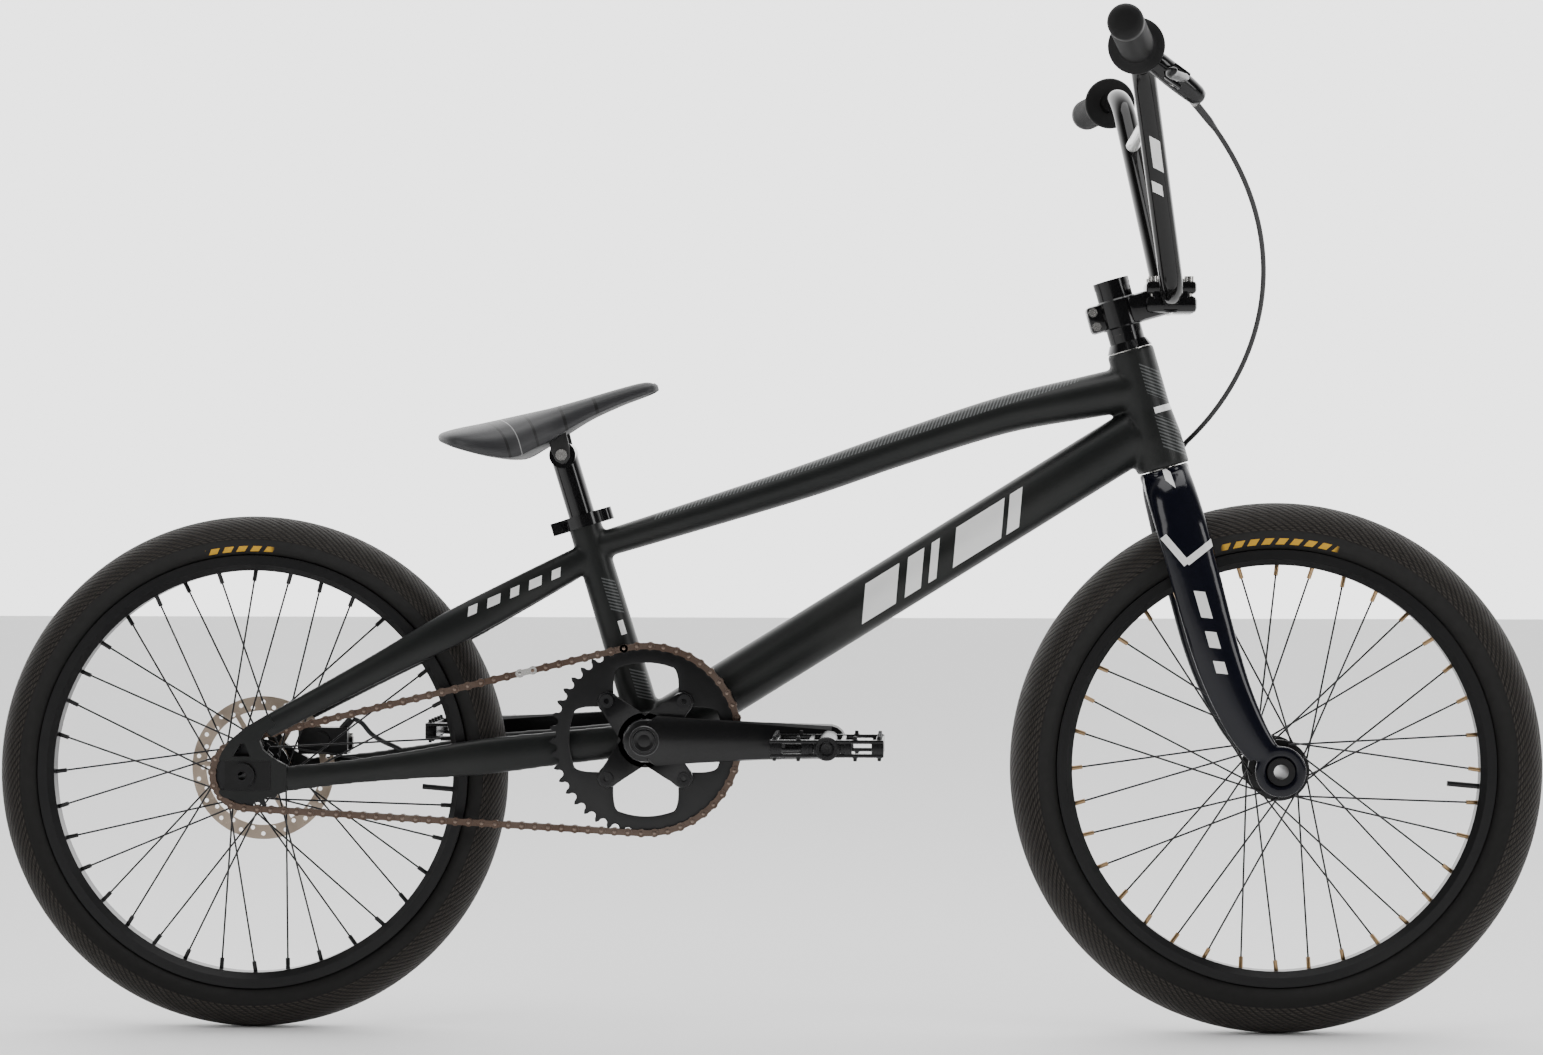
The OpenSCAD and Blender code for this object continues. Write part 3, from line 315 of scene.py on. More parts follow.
def piece(name, shape, mat, body, nodes=(), sharp=None):
    """Turns a bmesh or mesh into a finished piece that rides a body and stands for CAD nodes."""
    if isinstance(shape, bmesh.types.BMesh):
        bmesh.ops.recalc_face_normals(shape, faces=shape.faces)
        mesh = bpy.data.meshes.new(name)
        shape.to_mesh(mesh)
        shape.free()
    else:
        mesh = shape
        mesh.materials.clear()
    mesh.name = name
    for m in mat if isinstance(mat, (list, tuple)) else [mat]:
        mesh.materials.append(m)
    for face in mesh.polygons:
        face.use_smooth = True
    if sharp:
        mesh.set_sharp_from_angle(angle=math.radians(sharp))
    ob = bpy.data.objects.new(name, mesh)
    scene.collection.objects.link(ob)
    if body:
        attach(ob, body)
    if nodes:
        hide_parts(*nodes)
    return ob


# ---------------------------------------------------------------- frame
# Welded and filled alloy tubes under satin charcoal paint: oval top tube, deep down tube, tapered head tube, slim
# stays. The tubes are laid as skins, joined and softened so each weld reads as a smooth fillet.
LEAN, RAKE, FX, FR = math.radians(15.8), 24.9, 487.0, 253.0
BX, BZ, POST_LEAN = -112.0, 280.4, math.radians(17)
RX, RR = -494.0, 246.0


def head(z, x=0.0, y=0.0):
    """A point in the steering frame: z up the steering axis from the foot of the rake, x forward."""
    return Vector((FX + (x - RAKE) * math.cos(LEAN) - z * math.sin(LEAN), y,
                   FR + (x - RAKE) * math.sin(LEAN) + z * math.cos(LEAN)))


def seat(s, x=0.0, y=0.0):
    """A point s up the seat tube from the bottom bracket's centre."""
    return Vector((BX - s * math.sin(POST_LEAN) + x * math.cos(POST_LEAN), y,
                   BZ + s * math.cos(POST_LEAN) + x * math.sin(POST_LEAN)))


def about(origin, along, front=Vector((0, 1, 0))):
    """A matrix whose local Z lies along `along` and whose origin is a point in millimetres."""
    z = Vector(along).normalized()
    x = Vector(front).cross(z).normalized()
    y = z.cross(x)
    return Matrix.Translation(Vector(origin) / 1000) @ Matrix((x, y, z)).transposed().to_4x4()


bm = bmesh.new()
low, high = seat(190), head(385.9)
ovals(bm, spline([[*(low.lerp(high, f) + Vector((0, 0, lift))), a, b] for f, lift, a, b in (
    (-0.02, 0, 12.5, 13.5), (0.1, 0.5, 13.6, 15), (0.38, 3.2, 16, 18), (0.56, 8.3, 16.8, 19), (0.75, 10.9, 18, 20),
    (0.9, 4.5, 20.4, 21), (0.985, 0, 22, 21))]))
low, high = Vector((BX, 0, BZ)), head(346.5)
ovals(bm, [[*low.lerp(high, f), 25.8, 22] for f in (0, 0.25, 0.5, 0.75, 0.97)], around=40)
turned(bm, [(17.6, 0), (15.9, 222)], about(Vector((BX, 0, BZ)), seat(1) - seat(0)))
turned(bm, [(23, -36.5), (23, 36.5)], about((BX, 0, BZ), (0, 1, 0), (0, 0, 1)), 56)
turned(bm, [(25.4, 304.2), (25.4, 334), (22.6, 362), (22.4, 421.5)], about(head(0), head(1) - head(0)), 56)
for s in (1, -1):
    low, high = seat(184), Vector((RX + 14, 0, RR + 41.4))
    ovals(bm, spline([[*(low.lerp(high, f) + Vector((0, s * y, 0))), a, b] for f, y, a, b in (
        (0.0, 6, 13, 8), (0.12, 13, 15, 8.5), (0.27, 22, 16.6, 8), (0.43, 40, 17.0, 8), (0.62, 50, 13.6, 7.5),
        (0.8, 55.5, 11.8, 6), (0.98, 59, 11, 4))]))
    low, high = Vector((BX, 0, BZ)), Vector((RX + 24, 0, RR - 5))
    ovals(bm, spline([[*(low.lerp(high, f) + Vector((0, s * y, 0))), a, b] for f, y, a, b in (
        (0.02, 27, 15.5, 8.5), (0.25, 30, 16.5, 7.2), (0.44, 40.5, 17.4, 7.8), (0.63, 50, 13.6, 6.8),
        (0.8, 56, 11.6, 5.6), (0.96, 59, 12.6, 4))]))
bridge = Vector((BX, 0, BZ)).lerp(Vector((RX + 24, 0, RR - 5)), 0.29)
turned(bm, [(9, -27), (9, 27)], about(bridge, (0, 1, 0), (0, 0, 1)))
frame_mesh = melted(bm, 2.0, 7)

charcoal, charcoal_shader, charcoal_grain = grained(
    "satin charcoal paint", (0.0105, 0.0115, 0.0112), 0.4, 0.1, scale=2600, spread=0.06, tint=0.03, depth=0.12,
    coat_weight=0.1, coat_roughness=0.35, specular_ior_level=0.22)


def decal(tree, x, z, tilt, half_long, half_high, slant=0.0, hatch=0.0, near=False):
    """A mask for a flat mark seen from the side, centred at (x, z) mm and tilted in degrees.
    Hatch is the spacing of its lines, and a near mark is on the chain side only."""
    coords = tree.nodes.new("ShaderNodeTexCoord")
    turn = tree.nodes.new("ShaderNodeMapping")
    turn.vector_type = "TEXTURE"
    turn.inputs["Location"].default_value = (x / 1000, 0, z / 1000)
    turn.inputs["Rotation"].default_value = (0, math.radians(-tilt), 0)
    tree.links.new(coords.outputs["Object"], turn.inputs["Vector"])
    parts = tree.nodes.new("ShaderNodeSeparateXYZ")
    tree.links.new(turn.outputs["Vector"], parts.inputs["Vector"])
    along = maths(tree, "MULTIPLY_ADD", parts.outputs["Z"], -slant, parts.outputs["X"])
    inside = maths(tree, "MULTIPLY", maths(tree, "LESS_THAN", maths(tree, "ABSOLUTE", along), half_long / 1000),
                   maths(tree, "LESS_THAN", maths(tree, "ABSOLUTE", parts.outputs["Z"]), half_high / 1000))
    if hatch:
        lines = maths(tree, "LESS_THAN", maths(tree, "FRACT", maths(tree, "MULTIPLY", along, 1000 / hatch)), 0.45)
        inside = maths(tree, "MULTIPLY", inside, lines)
    if near:
        inside = maths(tree, "MULTIPLY", inside, maths(tree, "LESS_THAN", parts.outputs["Y"], 0.0))
    return inside


def marked(mat, node, group, marks):
    """Lays marks over a material's base colour: rows of (colour, decal arguments)."""
    paint = group.outputs["Color"]
    for color, args in marks:
        paint = blended(mat.node_tree, decal(mat.node_tree, *args), paint, color)
    mat.node_tree.links.new(paint, node.inputs["Base Color"])


WHITE, GREY = (0.88, 0.88, 0.87), (0.09, 0.095, 0.095)
DOWN_TILT = math.radians(31.9)
down = [(WHITE, (BX + d * math.cos(DOWN_TILT), BZ + d * math.sin(DOWN_TILT), 31.9, half_long, 15.5, 0.75))
        for d, half_long in ((262, 19), (300, 9), (322, 4.5), (372, 27), (412, 7))]
stay = [(WHITE, (-278 + k * 19.5, 403 + k * 8.6, 23.6, 6.5 if k % 2 else 4.5, 4.2, 0.5)) for k in range(5)]
marked(charcoal, charcoal_shader, charcoal_grain, down + stay + [
    (GREY, (97.5, 560.5, 18.05, 213, 4.6, 0.8, 3.6)), (GREY, (372, 620, -74, 15, 11, 0.7, 3.6)),
    (GREY, (387, 570, -74, 17, 11, 0.7, 3.6)), (GREY, (-146, 416, -73, 17, 5.5, 0.6, 3.4)),
    (GREY, (-119, 332, -73, 15, 6.5, 0.6, 3.4)), (WHITE, (-137, 386, -73, 7, 2.6)), (WHITE, (379, 596, -74, 3, 9))])
piece("frame_tubes", frame_mesh, charcoal, "frame",
      ["head_tube", "top_tube", "down_tube", "seat_tube", "bb_shell", "seat_stays", "chain_stays"])
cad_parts["dropouts"].data.materials.clear()
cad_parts["dropouts"].data.materials.append(charcoal)

# ---------------------------------------------------------------- fork
# A one-piece fork: broad crown, flat-sided legs that sweep forward at the foot, and round ends for the big axle.
# Gloss lacquer over a very dark navy coat, with a pale chevron and a few plain marks.
bm = bmesh.new()
turned(bm, [(23, 286), (24, 301), (23.6, 303.6)], about(head(0), head(1) - head(0)), 48)
for s in (1, -1):
    rows = spline([(0, 8, 300, 22, 14), (-0.8, 22, 284, 23.5, 14), (-1, 33, 262, 24, 12), (-1.4, 43, 236, 24, 10),
                   (-2.4, 48, 180, 23.3, 9.2), (-3.0, 51, 128, 22.4, 8.6), (-0.5, 52.5, 84, 20.5, 7.2),
                   (6, 53.6, 44, 18.4, 5.5), (15, 54, 17, 16, 4.2)])
    rings = []
    for x, y, z, a, b in rows:
        rings.append([head(z, x + a * math.cos(t), s * y + b * math.sin(t)) / 1000
                      for t in (2 * math.pi * k / 36 for k in range(36))])
    skin(bm, rings)
    turned(bm, [(14, 50.5), (24, 50.5), (24, 57.2), (22.6, 58), (14, 58)], about(head(0, RAKE), (0, s, 0), (0, 0, 1)),
           48, closed=True)
    turned(bm, [(10.3, 50.2), (16, 50.2), (16, 55), (10.3, 55)], about(head(0, RAKE), (0, s, 0), (0, 0, 1)),
           48, closed=True)
fork_mesh = melted(bm, 1.4, 3)
navy, navy_shader, navy_grain = grained("gloss navy lacquer", (0.0035, 0.004, 0.0085), 0.16, 0.0, spread=0.03,
                                        tint=0.01, depth=0.01, coat_weight=0.25, coat_roughness=0.08,
                                        specular_ior_level=0.2)
marked(navy, navy_shader, navy_grain, [
    (WHITE, (383, 531, -74, 8, 3.4, 1.4)), (WHITE, (388, 461, -50, 17, 3.4)), (WHITE, (412, 460, 38, 17, 3.4)),
    (WHITE, (414, 410, -74, 13, 5, 0.4)), (WHITE, (423, 377, -74, 8, 5, 0.4)), (WHITE, (430, 351, -74, 6, 5, 0.4))])
piece("fork_body", fork_mesh, navy, "steering", ["fork"])

# ---------------------------------------------------------------- tyres
# Moulded rubber tyres with a low slanted tread that wraps well down the shoulders, smooth sidewalls with two
# moulded lines, and a bead that sits in the rim. A short yellow band marks the sidewall at the top.
rubber, rubber_shader = shader("tyre rubber", (0.012, 0.010, 0.009), 0.62, specular_ior_level=0.3)
tree = rubber.node_tree
uv = tree.nodes.new("ShaderNodeUVMap")
parts = tree.nodes.new("ShaderNodeSeparateXYZ")
tree.links.new(uv.outputs["UV"], parts.inputs["Vector"])
around_u, over_v = parts.outputs["X"], parts.outputs["Y"]
from_top = maths(tree, "ABSOLUTE", maths(tree, "SUBTRACT", over_v, 0.5))
TREAD_COUNT, TREAD_SLANT, TREAD_ROWS, SHOULDER = 190, 26, 60, 0.318
slant = maths(tree, "ADD", maths(tree, "MULTIPLY", around_u, TREAD_COUNT),
              maths(tree, "MULTIPLY", from_top, TREAD_SLANT))
rib = maths(tree, "ABSOLUTE", maths(tree, "SUBTRACT", maths(tree, "FRACT", slant), 0.5))
rank = maths(tree, "FRACT", maths(tree, "MULTIPLY", from_top, TREAD_ROWS))
block = maths(tree, "ABSOLUTE", maths(tree, "SUBTRACT", rank, 0.5))
groove = maths(tree, "MULTIPLY", maths(tree, "SMOOTH_MAX", rib, maths(tree, "MULTIPLY", block, 0.9), 0.1), 2.0)
tread = maths(tree, "LESS_THAN", from_top, SHOULDER)
relief = maths(tree, "MULTIPLY", maths(tree, "SUBTRACT", 1.0, maths(tree, "POWER", groove, 2.4)), tread)
dust = tree.nodes.new("ShaderNodeTexNoise")
dust.inputs["Scale"].default_value = 130
dust.inputs["Detail"].default_value = 5
coords = tree.nodes.new("ShaderNodeTexCoord")
tree.links.new(coords.outputs["Object"], dust.inputs["Vector"])
height = maths(tree, "MULTIPLY_ADD", dust.outputs["Fac"], 0.08, relief)
bump = tree.nodes.new("ShaderNodeBump")
bump.inputs["Strength"].default_value = 0.9
bump.inputs["Distance"].default_value = 0.0022
tree.links.new(height, bump.inputs["Height"])
tree.links.new(bump.outputs["Normal"], rubber_shader.inputs["Normal"])
# Painted light and shade on the tread: the tops are paler than the sidewall rubber and the grooves are near-black.
painted_light = blended(tree, maths(tree, "MULTIPLY", relief, 0.9), (0.0008, 0.0007, 0.0007), (0.046, 0.039, 0.033))
plain = blended(tree, tread, (0.006, 0.0055, 0.005), painted_light)
band = maths(tree, "LESS_THAN", maths(tree, "ABSOLUTE", maths(tree, "SUBTRACT", from_top, 0.395)), 0.025)
step = maths(tree, "MULTIPLY_ADD", around_u, 100, maths(tree, "MULTIPLY", over_v, 6))
dash = maths(tree, "LESS_THAN", maths(tree, "FRACT", step), 0.62)
mark = tree.nodes.new("ShaderNodeAttribute")
mark.attribute_name = "marked"
printed = maths(tree, "MULTIPLY", maths(tree, "MULTIPLY", band, dash), mark.outputs["Fac"])
tree.links.new(blended(tree, printed, plain, (0.62, 0.34, 0.02)), rubber_shader.inputs["Base Color"])
matt = maths(tree, "MULTIPLY_ADD", dust.outputs["Fac"], 0.2, 0.5)
tree.links.new(matt, rubber_shader.inputs["Roughness"])

for name, x, z, outer, half, spread, middle in (
        ("front", FX, FR, 253.0, 25.0, 14.5, 89), ("rear", RX, RR, 246.0, 22.5, 8, 93)):
    rc = (outer + 208.9) / 2 + 1
    profile = []
    for k in range(49):
        t = math.radians(-160 + 320 * k / 48)
        away = abs(math.degrees(t))
        lift = (0.35 if away < 101 else 0.0) + (0.4 if 141 < away < 149 else 0.0)
        deep = outer - rc - 0.4 + lift if away < 90 else rc - 205.5
        profile.append((rc + deep * math.cos(t), (half - 0.4 + lift) * math.sin(t)))
    inner = [(rc + (r - rc) * 0.88 + 0.6, y * 0.88) for r, y in profile[::-1]]
    ring = profile + inner
    count = 300
    bm = bmesh.new()
    loops = bm.loops.layers.uv.new("own")
    shown = bm.verts.layers.float.new("marked")
    rows = []
    for i in range(count):
        a = 2 * math.pi * i / count
        row = [bm.verts.new(mm(x + r * math.cos(a), y, z + r * math.sin(a))) for r, y in ring]
        off = abs((math.degrees(a) - middle + 180) % 360 - 180)
        for v in row:
            v[shown] = 1.0 if off < spread else 0.0
        rows.append(row)
    for i in range(count):
        for k in range(len(ring)):
            n = (k + 1) % len(ring)
            face = bm.faces.new((rows[i][k], rows[(i + 1) % count][k], rows[(i + 1) % count][n], rows[i][n]))
            for loop, (u, v) in zip(face.loops, ((i, k), (i + 1, k), (i + 1, k + 1), (i, k + 1))):
                loop[loops].uv = (u / count, v / 48 if k < 48 else 0.0)
    piece(f"{name}_tyre_rubber", bm, rubber, f"{name}_wheel", [f"{name}_tyre"])

# ---------------------------------------------------------------- handlebar and crossbar
# Chromed-steel stock bent to two rises, painted gloss black, with a pale sleeve on the welded crossbar.
# The near upright carries two plain pale marks.
BAR = head(461.1, 49.9)


def bend(corner, into, out, radius, steps=12):
    """Points round a bend at a corner, arriving along `into` and leaving along `out`."""
    turn = math.acos(into.dot(out))
    inward = (out - into * into.dot(out)).normalized()
    start = corner - into * radius * math.tan(turn / 2)
    return [start + into * radius * math.sin(turn * k / steps) + inward * radius * (1 - math.cos(turn * k / steps))
            for k in range(steps + 1)]


knee, top, end = Vector((0, 50, 0)), Vector((-36.9, 165, 208.4)), Vector((-63, 367, 213.4))
rise, outward = (top - knee).normalized(), (end - top).normalized()
half = bend(knee, Vector((0, 1, 0)), rise, 40) + bend(top, rise, outward, 50) + [end - outward * 15]
path = [BAR + Vector((p.x, -p.y, p.z)) for p in reversed(half)] + [BAR + p for p in half]
bm = bmesh.new()
sweep(bm, path, 11.05, 40)
bar_paint, bar_shader, bar_grain = grained("gloss black bar paint", (0.004, 0.0038, 0.0038), 0.1, 0.0, spread=0.02,
                                           tint=0.0, depth=0.01, coat_weight=0.3, coat_roughness=0.04,
                                           specular_ior_level=0.2)
marked(bar_paint, bar_shader, bar_grain, [(WHITE, (365, 826, -80, 14, 4.5, 0.7, 0, True)),
                                         (WHITE, (367, 796, -80, 5, 4.5, 0.7, 0, True))])
piece("bar_tube", bm, bar_paint, "steering", ["handlebar"])

cross = knee.lerp(top, 0.75)
bm = bmesh.new()
sweep(bm, [BAR + Vector((cross.x, y, cross.z)) for y in (-137, -134, -132, -60, 0, 60, 132, 134, 137)],
      [8.4, 7.4, 6.5, 6.4, 6.4, 6.4, 6.5, 7.4, 8.4], 32)
sleeve = grained("pale crossbar sleeve", (0.62, 0.62, 0.61), 0.25, 0.0, tint=0.04, coat_weight=0.4)[0]
piece("crossbar_sleeve", bm, sleeve, "steering", ["crossbar"])

# ---------------------------------------------------------------- grips
# Soft rubber grips pushed on each end: close ribs along the palm, a thick round flange inboard, a closed end.
grip_rubber = grained("ribbed grip rubber", (0.0045, 0.0045, 0.0048), 0.55, 0.0, scale=1500, spread=0.12, tint=0.02,
                      depth=0.5, specular_ior_level=0.25)[0]
bm = bmesh.new()
profile = [(0, 0), (8, 0.2), (13.2, 1.2), (15.5, 3.4), (15.9, 6), (15.9, 12)]
for k in range(24):
    z = 13.5 + k * 5.0
    profile += [(15.9, z), (15.9, z + 2.0), (14.7, z + 2.7), (14.7, z + 4.3)]
profile += [(15.9, 134), (16.4, 137), (19, 138.6), (24.4, 139.2), (25.6, 140.4), (25.6, 142.4), (24.4, 143.8),
            (18, 144), (11.0, 144), (11.0, 140)]
for s in (1, -1):
    turned(bm, profile, about(BAR + Vector((end.x, s * end.y, end.z)), -Vector((outward.x, s * outward.y, outward.z)),
                              (0, 0, 1)), 48)
piece("grip_sleeves", bm, grip_rubber, "steering", ["grips"], sharp=40)

# ---------------------------------------------------------------- saddle
# A slim padded race saddle: a bonded satin skin over thin foam on a stiff shell, wings drooping at the back and a
# long nose. Pressed grooves cross the top and a shallow channel runs down the middle.
LEAN_SADDLE = math.radians(-13.8)
ON_SADDLE = (Matrix.Translation(seat(283) / 1000) @ Matrix.Rotation(LEAN_SADDLE, 4, "Y")
             @ Matrix.Translation((-0.112, 0, 0.012)))
stations = spline([(0, 16, 35, 31), (5, 38, 37, 27), (20, 56, 37.5, 17), (45, 61, 36.5, 4), (70, 55, 36, -4),
                   (95, 41, 35.6, 1), (115, 30, 35.6, 7), (144, 22.5, 36.6, 16), (175, 19, 38, 22),
                   (200, 16.5, 38.5, 25), (211, 12, 36.5, 26.5), (216, 4, 32, 28)], 5)
bm = bmesh.new()
rings = []
for x, w, high, edge in stations:
    ring = []
    for k in range(33):
        t = math.pi * k / 32
        dip = 1.6 * math.exp(-(w * math.cos(t) / 5) ** 2) * (1 if w > 10 else 0)
        ring.append(ON_SADDLE @ mm(x, w * math.cos(t), edge + (high - edge) * math.sin(t) ** 0.62 - dip))
    for k in range(33):
        t = math.pi * (1 - k / 32)
        crown = max(math.sin(t), 0) ** 0.62 * 0.8
        ring.append(ON_SADDLE @ mm(x, (w - 2.5) * math.cos(t), edge - 1 + (high - edge - 5) * crown))
    rings.append(ring)
skin(bm, rings)
skin_mat, skin_shader = shader("satin saddle skin", (0.02, 0.02, 0.022), 0.45)
tree = skin_mat.node_tree
coords = tree.nodes.new("ShaderNodeTexCoord")
turn = tree.nodes.new("ShaderNodeMapping")
turn.vector_type = "TEXTURE"
turn.inputs["Location"].default_value = ON_SADDLE.translation
turn.inputs["Rotation"].default_value = (0, LEAN_SADDLE, 0)
tree.links.new(coords.outputs["Object"], turn.inputs["Vector"])
parts = tree.nodes.new("ShaderNodeSeparateXYZ")
tree.links.new(turn.outputs["Vector"], parts.inputs["Vector"])
wide = maths(tree, "POWER", maths(tree, "MULTIPLY", parts.outputs["Y"], 20), 2.0)
bowed = maths(tree, "MULTIPLY_ADD", wide, -0.018, parts.outputs["X"])
pressed = None
for x in (0.045, 0.082, 0.118, 0.152):
    line = maths(tree, "LESS_THAN", maths(tree, "ABSOLUTE", maths(tree, "SUBTRACT", bowed, x)), 0.0016)
    pressed = line if pressed is None else maths(tree, "MAXIMUM", pressed, line)
contour = maths(tree, "LESS_THAN", maths(tree, "ABSOLUTE", maths(tree, "SUBTRACT", bowed, 0.060)), 0.0006)
pebble = tree.nodes.new("ShaderNodeTexVoronoi")
pebble.inputs["Scale"].default_value = 900
tree.links.new(coords.outputs["Object"], pebble.inputs["Vector"])
bump = tree.nodes.new("ShaderNodeBump")
bump.inputs["Strength"].default_value = 0.6
bump.inputs["Distance"].default_value = 0.0006
sunk = maths(tree, "SUBTRACT", maths(tree, "MULTIPLY", pebble.outputs["Distance"], 0.12), pressed)
tree.links.new(sunk, bump.inputs["Height"])
tree.links.new(bump.outputs["Normal"], skin_shader.inputs["Normal"])
# Painted shade: the pressed grooves are coloured near-black.
with_painted_groove_shade = blended(tree, pressed, (0.024, 0.024, 0.026), (0.004, 0.004, 0.004))
tree.links.new(blended(tree, contour, with_painted_groove_shade, (0.25, 0.25, 0.25)), skin_shader.inputs["Base Color"])
tree.links.new(maths(tree, "MULTIPLY_ADD", pebble.outputs["Distance"], 0.15, 0.36), skin_shader.inputs["Roughness"])
saddle = piece("saddle_skin", bm, skin_mat, "seat", ["saddle_cover"])

bm = bmesh.new()
rings = []
for x, w, high, edge in stations[4:-8]:
    rings.append([ON_SADDLE @ mm(x, (w - 3.5) * math.cos(t),
                                 edge + 0.5 + (3 if math.sin(t) < 0 else high - edge - 7) * math.sin(t) * 0.75)
                  for t in (2 * math.pi * k / 40 for k in range(40))])
skin(bm, rings)
for s in (1, -1):
    slab(bm, [(103, -6), (105, -16), (110, -20.5), (114, -20.5), (119, -16), (121, -6), (121, 12), (103, 12)],
         15.3 if s > 0 else -21, 21 if s > 0 else -15.3, ON_SADDLE, 1.0)
shell = grained("moulded saddle shell", (0.012, 0.012, 0.012), 0.5, 0.0, scale=1800, depth=0.3, tint=0.02)[0]
piece("saddle_shell", bm, shell, "seat", ["saddle_base"], sharp=50)

# ---------------------------------------------------------------- brake hose
# One length of smooth black hydraulic hose: a free bow from the lever to the frame, a run hidden inside that is
# not built, and a short tail from the left chain stay to the caliper.
hose_mat = grained("brake hose jacket", (0.014, 0.014, 0.015), 0.35, 0.0, scale=2200, spread=0.08, tint=0.02,
                   depth=0.2)[0]
out, into = BAR + Vector((11.5, -178, 163.4)), head(322.6, 29.1, 14)
curve = [out, out + Vector((109, 58, -116)), into + Vector((67, -54, 65)), into]
bow = [curve[0] * (1 - t) ** 3 + curve[1] * 3 * t * (1 - t) ** 2 + curve[2] * 3 * t * t * (1 - t) + curve[3] * t ** 3
       for t in (k / 48 for k in range(49))]
tail = spline([list(bow[-1]), list(head(317.2, 21.5, 25)), list(head(315.2, 6, 31)), list(head(318.2, -10, 29.5)),
               list(head(324.2, -27, 21))], 5)
bm = bmesh.new()
sweep(bm, bow + tail[1:], 2.4, 16)
sweep(bm, [out + (out - bow[2]).normalized() * 6, out, bow[2], bow[3]], [3.6, 3.6, 3.4, 2.5], 16)
hose = piece("front_hose", bm, hose_mat, None, ["brake_hose"])
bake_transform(hose)
bm = bmesh.new()
sweep(bm, spline([[RX + x, 46.9 + y, RR + z] for x, y, z in (
    (88.4, -2.4, 48.4), (97, -1.5, 44), (106, 0, 33.5), (117, 3, 26), (130, 4, 20), (145, 3, 12))], 6), 2.4, 16)
piece("rear_hose", bm, hose_mat, "frame")

# ---------------------------------------------------------------- chain
# A half-inch bushed chain, bronze-brown plated: waisted inner and outer plates, rollers and riveted pin ends, with
# one bright joining link on the upper run. It lies on the sprocket teeth.
RING_TEETH, COG_TEETH, PITCH, CHAIN_Y = 44, 16, 12.7, -43.0
RING_R, COG_R = (PITCH / (2 * math.sin(math.pi / teeth)) for teeth in (RING_TEETH, COG_TEETH))
climb = math.atan2(BZ - RR, BX - RX)
wrap = math.asin((RING_R - COG_R) / math.hypot(BX - RX, BZ - RR))
upper, lower = climb + math.pi / 2 + wrap, climb - math.pi / 2 - wrap


def on_wheel(x, z, radius, teeth, start, swept):
    """The chain pins round a sprocket, from the angle `start` clockwise in X and Z through the angle `swept`."""
    step = math.tau / teeth
    return [Vector((x + radius * math.cos(start - k * step), CHAIN_Y, z + radius * math.sin(start - k * step)))
            for k in range(int(swept * teeth / math.tau) + 1)]


ring_pins = on_wheel(BX, BZ, RING_R, RING_TEETH, upper, upper - lower)
cog_pins = on_wheel(RX, RR, COG_R, COG_TEETH, lower, math.tau - upper + lower)
pins = []
for here, there in ((ring_pins, cog_pins), (cog_pins, ring_pins)):
    run = round((there[0] - here[-1]).length / PITCH)
    pins += here + [here[-1].lerp(there[0], k / run) for k in range(1, run)]
ends = [(4.1 * math.cos(math.radians(a)), 4.1 * math.sin(math.radians(a))) for a in range(48, 313, 33)]
plate_shape = ends + [(PITCH / 2, -2.9)] + [(PITCH - x, -z) for x, z in ends] + [(PITCH / 2, 2.9)]
plates, joint_link, rollers = bmesh.new(), bmesh.new(), bmesh.new()
for i, pin in enumerate(pins):
    then = pins[(i + 1) % len(pins)]
    lean = math.atan2(then.z - pin.z, then.x - pin.x)
    place = Matrix.Translation(pin / 1000) @ Matrix.Rotation(-lean, 4, "Y")
    outer = i % 2 == 1
    bright = outer and abs(pin.x + 230) < 14 and pin.z > 300
    for s in (1, -1):
        near, far = sorted((s * (2.5 if outer else 1.4), s * (3.5 if outer else 2.4)))
        slab(joint_link if bright else plates, plate_shape, near, far, place)
    bit = about(pin, (0, 1, 0), (0, 0, 1))
    turned(rollers, [(2.2, -1.3), (3.8, -1.25), (3.85, 0), (3.8, 1.25), (2.2, 1.3)], bit, 16)
    turned(joint_link if bright else rollers,
           [(0.6, -4.2), (1.5, -4.05), (1.8, -3.5), (1.8, 3.5), (1.5, 4.05), (0.6, 4.2)], bit, 12)
chain_mat = grained("bronze-brown chain", (0.115, 0.078, 0.06), 0.34, 0.85, scale=500, spread=0.2, tint=0.25,
                    depth=0.3)[0]
pin_mat = grained("chain pins", (0.24, 0.18, 0.145), 0.32, 0.9, scale=600, spread=0.15, tint=0.2, depth=0.2)[0]
piece("chain_plates", plates, chain_mat, "frame", ["chain"], sharp=35)
piece("chain_rollers", rollers, pin_mat, "frame", sharp=35)
piece("chain_joining_link", joint_link, bright_steel, "frame", sharp=35)

# ---------------------------------------------------------------- chainring
# A 44-tooth machined alloy ring bolted behind the spider: thin pointed teeth, a shoulder inside them, and four
# rounded windows between the wide bolt tabs.
bm = bmesh.new()
tooth = [(-0.93, 2.9), (-0.64, 0.4), (-0.57, -1.7), (-0.4, -3.1), (-0.15, -3.95)]
tooth += [(-turn, rise) for turn, rise in reversed(tooth)]
edge = [(upper - (2 * k + turn) * math.pi / RING_TEETH, RING_R + rise)
        for k in range(RING_TEETH) for turn, rise in tooth]
WINDOW_TOP, WINDOW_HALF, SOFT = 73.0, 31.0, 14.0
window = []
for angle, _ in edge:
    side_r = WINDOW_HALF / max(abs(math.sin((angle + math.pi / 4) % (math.pi / 2) - math.pi / 4)), 0.2)
    blend_in = max(SOFT - abs(side_r - WINDOW_TOP), 0) / SOFT
    window.append((angle, min(side_r, WINDOW_TOP) - blend_in * blend_in * SOFT / 4))
face = [(0.8, edge), (0.8, [(a, 82.5) for a, _ in edge]), (1.1, [(a, 81.5) for a, _ in edge]),
        (1.1, [(a, r + 0.8) for a, r in window]), (0.6, window)]
